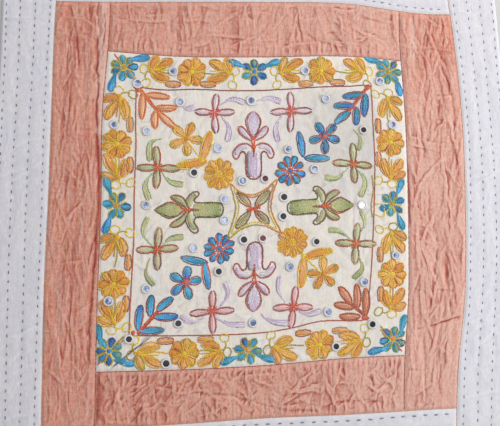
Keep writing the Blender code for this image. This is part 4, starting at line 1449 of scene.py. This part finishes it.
# The square line round the inner field
squareLine = curved(((-159, 162), (-120, 161), (-80, 163), (-20, 161), (40, 162), (90, 164), (130, 165),
                     (160, 168), (163, 160), (163, 120), (164, 60), (162, 0), (159, -60), (156, -110),
                     (152, -152), (148, -158), (130, -158), (90, -156), (50, -162), (10, -165), (-40, -165),
                     (-90, -164), (-140, -163), (-157, -162), (-159, -156), (-158, -100), (-157, -40),
                     (-158, 20), (-156, 80), (-157, 120), (-158, 156)), closed=True)
chain(squareLine, "brick", closed=True, size=0.72, other="maroon", swap=(0.0, 0.24), slip=0.1)
chain(curved(((160, 40), (161, 20), (158, 0), (159, -16))), "olive", size=0.8)
chain(curved(((164, -14), (175, -16), (175, 0), (165, 1))), "straw", size=0.8)
for x, y in ((-156, 158), (158, 164), (-154, -159), (149, -155)):
    knot((x, y), 2.6, "coral")
print("inner field drawn")


# The band between the square line and the seam: its distance from the middle, and places up or to the right

bandPlan = (
    # side, out, gold flowers, sprig roots, blue flower
    {"side": (0, 1), "out": 187, "gold": (-86, 93), "roots": (-143, -33, 34, 155), "blue": -1},
    {"side": (1, 0), "out": 187, "gold": (89, -96), "roots": (153, 37, -37, -144), "blue": 2},
    {"side": (0, -1), "out": 187, "gold": (91, -88), "roots": (-149, -39, 28, 148), "blue": -5},
    {"side": (-1, 0), "out": 180, "gold": (-97, 85), "roots": (149, 38, -34, -149), "blue": 4},
)
cornerFlowers = ((-177, 187), (190, 190), (191, -185), (-184, -182))


def bandPlace(plan, along, out):
    side = plan["side"]
    return (along if side[0] == 0 else side[0] * out, along if side[1] == 0 else side[1] * out)


def goldFlower(middle):
    start = dice.uniform(0, 45)
    for number in range(8):
        angle = start + number * 45 + dice.uniform(-5, 5)
        petal(*spoke(middle, angle, 4.0, 19.5 * dice.uniform(0.92, 1.04)), 12.4,
              pick((("orange", "peach"), ("amber", "orange"), ("peach", "gold"))),
              pick(("gold", "amber", "gold", "olive")), fat=0.64, blunt=0.42, size=0.88, lines=1,
              core="orange" if number % 3 == 0 else None)
        chain(spoke(middle, angle + 22.5, 5, 14), pick(("yellow", "yellow", "rust")), size=0.66, lift=0.3)
    knot(middle, 3.4, "yellow")
    ring(middle, 5.4, 40, "yellow", 0.85)


def blueFlower(middle, count=6, reach=17.5):
    start = dice.uniform(0, 60)
    for number in range(count):
        angle = start + number * 360 / count + dice.uniform(-7, 7)
        petal(*spoke(middle, angle, 5.0, reach * dice.uniform(0.92, 1.08)), 9.0,
              pick((("teal", "blue"), ("sky", "teal"), ("teal", "sky"), ("blue", "ink"), ("teal", "lime"))),
              pick(("lime", "teal", "olive", "ink", "lime")), fat=0.64, blunt=0.45, size=0.7, lines=1,
              margin=0.9)
        between = spoke(middle, angle + 180 / count, 4, 12)
        chain(between, pick(("lime", "orange", "yellow", "olive")), size=0.8)
    knot(middle, 2.6, pick(("orange", "olive", "blue")))
    ring(middle, 4.4, 60, pick(("yellow", "olive")), 0.62)


def loop(middle, angle, length=12.5, wide=10.5):
    ends = polar(middle, angle + 180, length / 2), polar(middle, angle, length / 2)
    petal(*ends, wide, None, pick(("olive", "straw", "yellow")), fat=0.5, blunt=0.45, size=0.78)


def bandSprig(plan, root, toward):
    # three leaves that open towards the gold flower, on a stem that runs to it; toward is 1 or -1
    out = plan["out"] - 2

    def at(forward, outward):
        return bandPlace(plan, root + toward * forward, out + outward)

    bow = 1 if (plan["side"][0] + plan["side"][1]) * toward * (1 if plan["side"][0] == 0 else -1) > 0 else -1
    inside = (("orange", "peach"), ("amber", "orange"), ("peach", "gold"), ("gold", "peach"))
    petal(at(1, 3), at(9 + dice.uniform(-2, 2), 21), 10.8, pick(inside), pick(("gold", "olive", "amber")),
          fat=0.55, blunt=0.42, size=0.86, core="orange", bend=bow * 1.5, lines=0)
    petal(at(8, 3), at(31 + dice.uniform(-3, 3), 17), 12.0, pick(inside), pick(("gold", "amber")),
          fat=0.55, blunt=0.42, size=0.88, bend=bow * 1.5, lines=2)
    petal(at(3, -2), at(29 + dice.uniform(-3, 3), -9), 12.0, pick(inside), pick(("gold", "amber", "gold")),
          fat=0.55, blunt=0.42, size=0.88, core="amber", bend=bow * -2, lines=0)
    chain(curved((at(-3, -1), at(12, 0.5), at(24, -1), at(40, 1))), pick(("gold", "olive")), size=0.85)
    chain((at(0, 3), at(12, 3)), "amber", size=0.85)
    for forward, outward in ((24, 8), (27, 3), (15, 16), (20, -5)):
        chain((at(5, 2), at(forward, outward)), pick(("yellow", "amber", "gold")), size=0.72, lift=0.25)
    knot(at(3, 0), 3.2, "gold")
    loop(at(-7, 3), 90 if plan["side"][0] == 0 else 0)
    loop(at(-3, -16), 45 * toward)
    chain(curved((at(-3, -1), at(-5, -7), at(-4, -11))), pick(("olive", "yellow")), size=0.75)


def teardrop(root, tip):
    petal(root, tip, 9.2, pick((("teal", "sky"), ("sky", "teal"))), pick(("teal", "blue", "teal")), fat=0.72,
          blunt=0.5, size=0.7, lines=2, margin=1.0)


for plan in bandPlan:
    for place in plan["gold"]:
        goldFlower(bandPlace(plan, place, plan["out"]))
        for shift in (-24, 25):
            middle = place + shift + dice.uniform(-3, 3)
            inner = plan["out"] - 17 + dice.uniform(-1, 1)
            petal(bandPlace(plan, middle - 10, inner), bandPlace(plan, middle + 10, inner), 8.4,
                  pick((("peach", "orange"), ("orange", "peach"))), pick(("tan", "rust")), fat=0.5,
                  blunt=0.25, size=0.75, lines=1)
    blueFlower(bandPlace(plan, plan["blue"], plan["out"]))
    for way in (-1, 1):
        teardrop(bandPlace(plan, plan["blue"] + way * 12, plan["out"] + 7),
                 bandPlace(plan, plan["blue"] + way * 36, plan["out"] + 15))
    for root in plan["roots"]:
        nearest = min(plan["gold"], key=lambda place: abs(place - root))
        bandSprig(plan, root, 1 if nearest > root else -1)

for x, y in cornerFlowers:
    sideX, sideY = np.sign(x), np.sign(y)
    blueFlower((x, y), 7, 18)
    teardrop((x - sideX * 4, y + sideY * 11), (x - sideX * 33, y + sideY * 17))
    teardrop((x + sideX * 10, y - sideY * 6), (x + sideX * 15, y - sideY * 33))
    chain(((x - sideX * 5, y - sideY * 5), (x - sideX * 17, y - sideY * 17)), "olive", size=0.85)
    chain(((x - sideX * 7, y - sideY * 3), (x - sideX * 17, y - sideY * 13)), "orange", size=0.75)
    chain(((x + sideX * 6, y + sideY * 8), (x + sideX * 13, y + sideY * 16)), "coral", size=0.8)
print("band drawn")


def chainPart(rows):
    rows = np.array(rows)
    places = rows[:, :3] + (0, 0, 0.30)
    pitches = dice.normal(0, 0.05, len(rows))
    headings = rows[:, 3] + dice.normal(0, 0.07, len(rows))
    sizes = rows[:, 4].reshape(-1, 1, 1) * (1, 1, 0.9)
    return copyPattern(linkPattern, places, headings, pitches, sizes, rows[:, 5:8])


def fillPart(patches):
    across = max(math.ceil(math.sqrt(len(patches) / 2)), 1)
    size = 1 / np.array([across, max(math.ceil(len(patches) / across), 1)])
    corners, counts, strand, bake, start = [], [], [], [], 0
    for number, fill in enumerate(patches):
        cell = np.array([number % across, number // across])
        for face in fill["faces"]:
            corners.append(np.array(face) + start)
            counts.append(len(face))
            strand.append(fill["strand"][face])
            under = len(face) > 4   # the unseen underside keeps to one thin strip of its cell
            flat = fill["flat"][face] * ((1, 0.03) if under else (1, 1))
            bake.append((cell + 0.04 + flat * (0.92, 0.86) + (0, 0 if under else 0.06)) * size)
        start += len(fill["points"])
    return {"points": np.concatenate([fill["points"] for fill in patches]),
            "dye": np.concatenate([fill["dye"] for fill in patches]), "corners": np.concatenate(corners),
            "counts": counts, "strand": np.concatenate(strand), "bake": np.concatenate(bake)}


mostLinks = 5000    # in one piece
for kind in ("gold", "blue", "green", "lilac", "coral", "slate"):
    for number, start in enumerate(range(0, len(chains[kind]), mostLinks)):
        joinParts(f"chain_{kind}_{number + 1}", kind, [chainPart(chains[kind][start:start + mostLinks])])
    if fills[kind]:
        joinParts("filling_" + kind, kind, [fillPart(fills[kind])])


# Mirrors, each held by a ring of buttonhole stitches

mirror = {"count": 40, "radius": 4.5, "thick": 0.8, "bevel": 0.16, "ringOut": 6.4, "ringIn": 3.8,
          "ringHigh": 0.75, "ribs": 36, "tilt": 0.05}
mirrorReflections = {  # which mirrors get a painted dark, red or bright reflection; the others get a pale one
    "dark": (4, 6, 7, 12, 13, 15, 20, 22, 31, 32, 35, 36), "red": (2, 3), "bright": (26,),
}


def makeGlass(name, pale, deep, metallic, rough):
    material, wire, shader = startMaterial(name)
    place = wire.node("ShaderNodeTexCoord", out=3)
    blot = wire.node("ShaderNodeTexNoise", None,
                     {"Vector": place, "Scale": 130.0, "Detail": 3.0, "Roughness": 0.65})
    speck = wire.node("ShaderNodeTexVoronoi", None, {"Vector": place, "Scale": 900.0})
    cloud = wire.sum("ADD", (blot - 0.5) * 5.0, 0.45, clamp=True)
    # painted reflection: the pale colour, with blotches of the deep one
    colour = wire.mix(cloud, dyed(pale), dyed(deep))
    colour = wire.mix(wire.sum("LESS_THAN", speck, 0.16) * 0.5, colour, dyed((70, 62, 58)))     # tarnish
    bump = wire.node("ShaderNodeBump", None, {"Height": blot, "Strength": 0.25, "Distance": 0.0004})
    finishMaterial(wire, shader, {"Base Color": colour, "Roughness": blot * 0.2 + rough, "Normal": bump,
                                  "Metallic": metallic})
    return material


# each look's base colours are a painted reflection
glass = {
    "pale": makeGlass("glass_pale", (196, 208, 234), (92, 106, 148), 0.5, 0.3),
    "dark": makeGlass("glass_dark", (44, 42, 48), (18, 18, 22), 0.35, 0.10),
    "red": makeGlass("glass_red", (116, 54, 52), (70, 30, 34), 0.35, 0.12),
    "bright": makeGlass("glass_bright", (246, 246, 248), (214, 220, 232), 0.8, 0.05),
}


def makeMirrorDisc():
    clearSelection()
    bpy.ops.mesh.primitive_cylinder_add(vertices=20, radius=mirror["radius"] * mm, depth=mirror["thick"] * mm)
    obj = bpy.context.active_object
    bpy.ops.object.mode_set(mode="EDIT")
    bpy.ops.mesh.select_all(action="SELECT")
    bpy.ops.mesh.bevel(offset=mirror["bevel"] * mm, segments=2, affect="EDGES")
    selectTop(obj)
    bpy.ops.mesh.inset(thickness=0.9 * mm)
    bpy.ops.transform.translate(value=(0, 0, 0.05 * mm))
    bpy.ops.mesh.inset(thickness=1.6 * mm)
    bpy.ops.transform.translate(value=(0, 0, 0.03 * mm))
    bpy.ops.mesh.select_mode(type="VERT")
    return takePattern(obj)


def makeRing():
    # a fat ring of thread, ribbed where each stitch crosses it
    clearSelection()
    middle = (mirror["ringOut"] + mirror["ringIn"]) / 2
    fat = mirror["ringOut"] - mirror["ringIn"]
    bpy.ops.mesh.primitive_torus_add(major_segments=mirror["ribs"], minor_segments=6, generate_uvs=True,
                                     major_radius=middle * mm, minor_radius=fat / 2 * mm)
    obj = bpy.context.active_object
    bpy.ops.object.mode_set(mode="EDIT")
    bpy.ops.mesh.select_all(action="SELECT")
    bpy.ops.transform.resize(value=(1, 1, mirror["ringHigh"] / fat))
    selectWhere(obj, lambda place: round(math.degrees(math.atan2(place.y, place.x)) / 10) % 2 == 0)
    bpy.ops.transform.resize(value=(1.03, 1.03, 0.62))
    selectWhere(obj, lambda place: math.hypot(place.x, place.y) < middle * mm)
    bpy.ops.transform.translate(value=(0, 0, 0.12 * mm))
    pattern = takePattern(obj)
    x, y = pattern["points"][:, :2].T
    radius = np.hypot(x, y)
    between = np.round(np.degrees(np.arctan2(y, x)) / 10) % 2 == 0
    # painted shade along the outer edge, darkest between the ribs, and along the inner edge beside the glass
    outer = np.where(between, 0.45, 0.9)     # dark between the ribs
    pattern["tone"] = np.where(radius > middle + 0.9, outer, np.where(radius < middle - 0.9, 0.7, 1))
    return pattern


discPattern = makeMirrorDisc()
ringPattern = makeRing()
ringPlaces = []
for number in range(1, mirror["count"] + 1):
    low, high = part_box(f"mirror_{number:02d}")
    middle = (np.array(low) + np.array(high)) / 2 / mm
    look = next((look for look, numbers in mirrorReflections.items() if number in numbers), "pale")
    tilt = dice.uniform(-mirror["tilt"], mirror["tilt"], 2)
    points = discPattern["points"].copy()
    points[:, 2] += points[:, 0] * tilt[0] + points[:, 1] * tilt[1]
    mesh = bpy.data.meshes.new(f"glass_{number:02d}")
    mesh.from_pydata((points + middle) * mm, [], discPattern["faces"])
    mesh.materials.append(glass[look])
    disc = addObject(f"glass_{number:02d}", mesh)
    clearSelection()
    disc.select_set(True)
    bpy.context.view_layer.objects.active = disc
    bpy.ops.object.shade_smooth_by_angle(angle=math.radians(32))
    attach(disc, "root")
    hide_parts(f"mirror_{number:02d}")
    ringPlaces.append(middle + (0, 0, mirror["thick"] / 2 + 0.05))
count = len(ringPlaces)
turns = dice.uniform(0, 6.28, count)
pitches = dice.uniform(-mirror["tilt"], mirror["tilt"], count)
sizes = dice.uniform(0.94, 1.06, (count, 1, 1))
dyes = np.array([colourOf("white", dice.normal(0, 0.04)) for _ in ringPlaces])
rings = copyPattern(ringPattern, np.array(ringPlaces), turns, pitches, sizes, dyes)
rings["strand"] = rings["strand"] * (24.0, 1.0)
joinParts("mirror_rings", "white", [rings])
print("mirrors set in", count, "rings")


# The running stitches, above and below

stitches = []
for side, (name, sheet) in enumerate(borders.items()):
    sign = -1 if name in ("left", "bottom") else 1
    reach = (half if side < 2 else coral) - quilting["margin"]
    pitch = quilting["pitch"][side]
    for row, distance in enumerate(quilting["rows"]):
        slip = rowSlip(row, side)
        first, last = math.ceil((-reach - slip) / pitch), math.floor((reach - slip) / pitch)
        along = slip + np.arange(first, last + 1) * pitch + dice.normal(0, 0.5, last + 1 - first)
        out = sign * (coral + distance + 0.8 * np.sin(along / 60 + row) + dice.normal(0, 0.22, len(along)))
        across, upward = (out, along) if side < 2 else (along, out)
        x, y, z = topHeight(sheet, across, upward)
        ahead = lay(across + (side > 1), upward + (side < 2))
        heading = np.arctan2(ahead[1] - y, ahead[0] - x) + dice.normal(0, 0.06, len(along))
        stitches += [(*place, quilting["bold"][side], pitch) for place in zip(x, y, z, heading)]
stitches = np.array(stitches)
places, headings, bold = stitches[:, :3], stitches[:, 3], stitches[:, 4]
level = np.zeros(len(stitches))
dyes = np.array([colourOf("slate", dice.normal(0, 0.15)) for _ in stitches])
sizes = np.stack([dice.uniform(0.82, 1.15, len(stitches)) * bold, bold, level + 1], 1)[:, None]
topRow = copyPattern(stitchPattern, places + (0, 0, quilting["sits"]), headings, level, sizes, dyes,
                     (0, 0, 1, 0.5))
places = places * (1, 1, 0) + (0, 0, quilting["sitsUnder"])
places[:, 0] += np.cos(headings) * stitches[:, 5] / 2
places[:, 1] += np.sin(headings) * stitches[:, 5] / 2
keep = (np.abs(places[:, :2]) < quilting["underReach"]).all(1)
underRow = copyPattern(stitchPattern, places[keep], headings[keep], level[keep],
                       sizes[keep] * (1, 1, 0.6), dyes[keep], (0, 0.5, 1, 1))
joinParts("running_stitches", "slate", [topRow, underRow])


# Seam thread, sunk in the grooves between the pieces

def seamCord(points, radius, reel, sides=5):
    # a thin thread along a seam, as arrays
    x, y = lay(points[:, 0], points[:, 1])
    z = np.full(len(x), quilt["thick"] - quilt["seamDip"] + 0.02) + 0.12 * np.sin(np.arange(len(x)) * 1.9)
    middle = np.stack([x, y, z], 1)
    ahead = np.gradient(middle[:, :2], axis=0)
    ahead = ahead / np.hypot(*ahead.T)[:, None]
    turns = np.linspace(0, 2 * math.pi, sides, endpoint=False)
    beside = np.stack([-ahead[:, 1], ahead[:, 0], np.zeros(len(x))], 1)
    thick = radius * (1 + 0.25 * np.sin(np.arange(len(x)) * 2.1))[:, None, None]
    rim = beside[:, None] * np.cos(turns)[None, :, None] + np.array([0, 0, 1]) * np.sin(turns)[None, :, None]
    tube = (middle[:, None] + rim * thick).reshape(-1, 3)
    last = len(x) - 1
    corners, counts, strand, bake = [], [], [], []
    for k in range(last):
        for j in range(sides):
            around = [(j, k), (j + 1, k), (j + 1, k + 1), (j, k + 1)]
            corners += [b * sides + a % sides for a, b in around]
            counts.append(4)
            strand += [(a / sides * 2 + b * 0.5, b * 1.5) for a, b in around]
            bake += [(a / sides, b / last) for a, b in around]
    for end, order in ((0, range(sides - 1, -1, -1)), (last, range(sides))):
        corners += [end * sides + j for j in order]
        counts.append(sides)
        strand += [(0, 0)] * sides
        bake += [(0.5 + 0.01 * math.cos(turns[j]), end / last * 0.98 + 0.01) for j in order]
    return {"points": tube, "corners": np.array(corners), "counts": counts, "strand": np.array(strand, float),
            "bake": np.array(bake, float), "dye": np.repeat(colourOf(reel)[None], len(tube), axis=0)}


def seamLine(start, end, step=2.4):
    count = int(math.dist(start, end) / step)
    return np.linspace(start, end, count)


def sewSeams(name, wide, long, ends, radius, reel):
    # thread along the four sides of a frame; the upright ones run on past it
    seams = [seamLine((x, -ends), (x, ends)) for x in (-wide, wide)]
    seams += [seamLine((-wide + 1, y), (wide - 1, y)) for y in (-long, long)]
    cords = [seamCord(seam, radius, reel) for seam in seams]
    for number, cord in enumerate(cords):
        cord["bake"] = cord["bake"] * (0.86 / len(cords), 0.98) + ((number + 0.05) / len(cords), 0.01)
    joinParts(name, "coral", cords)


sewSeams("seam_panel", panelWide, panelLong, coral - 2, 0.5, "maroon")
sewSeams("seam_border", coral, coral, half - 3, 0.4, "tan")
print("stitches and seams sewn")


# Floor

floorLook = {"size": 4.0, "drop": 0.0006, "pale": (214, 212, 208), "deep": (204, 203, 201)}
clearSelection()
bpy.ops.mesh.primitive_plane_add(size=floorLook["size"], location=(0, 0, -floorLook["drop"]))
floor = bpy.context.active_object
floor.name = "studio_floor"
floorMaterial, wire, shader = startMaterial("floor_paper")
grain = wire.node("ShaderNodeTexNoise", None,
                  {"Vector": wire.node("ShaderNodeTexCoord", out=3), "Scale": 60.0, "Detail": 4.0})
finishMaterial(wire, shader, {"Base Color": wire.mix(grain, dyed(floorLook["pale"]), dyed(floorLook["deep"])),
                              "Roughness": grain * 0.1 + 0.85})
floor.data.materials.append(floorMaterial)

print("all pieces placed")
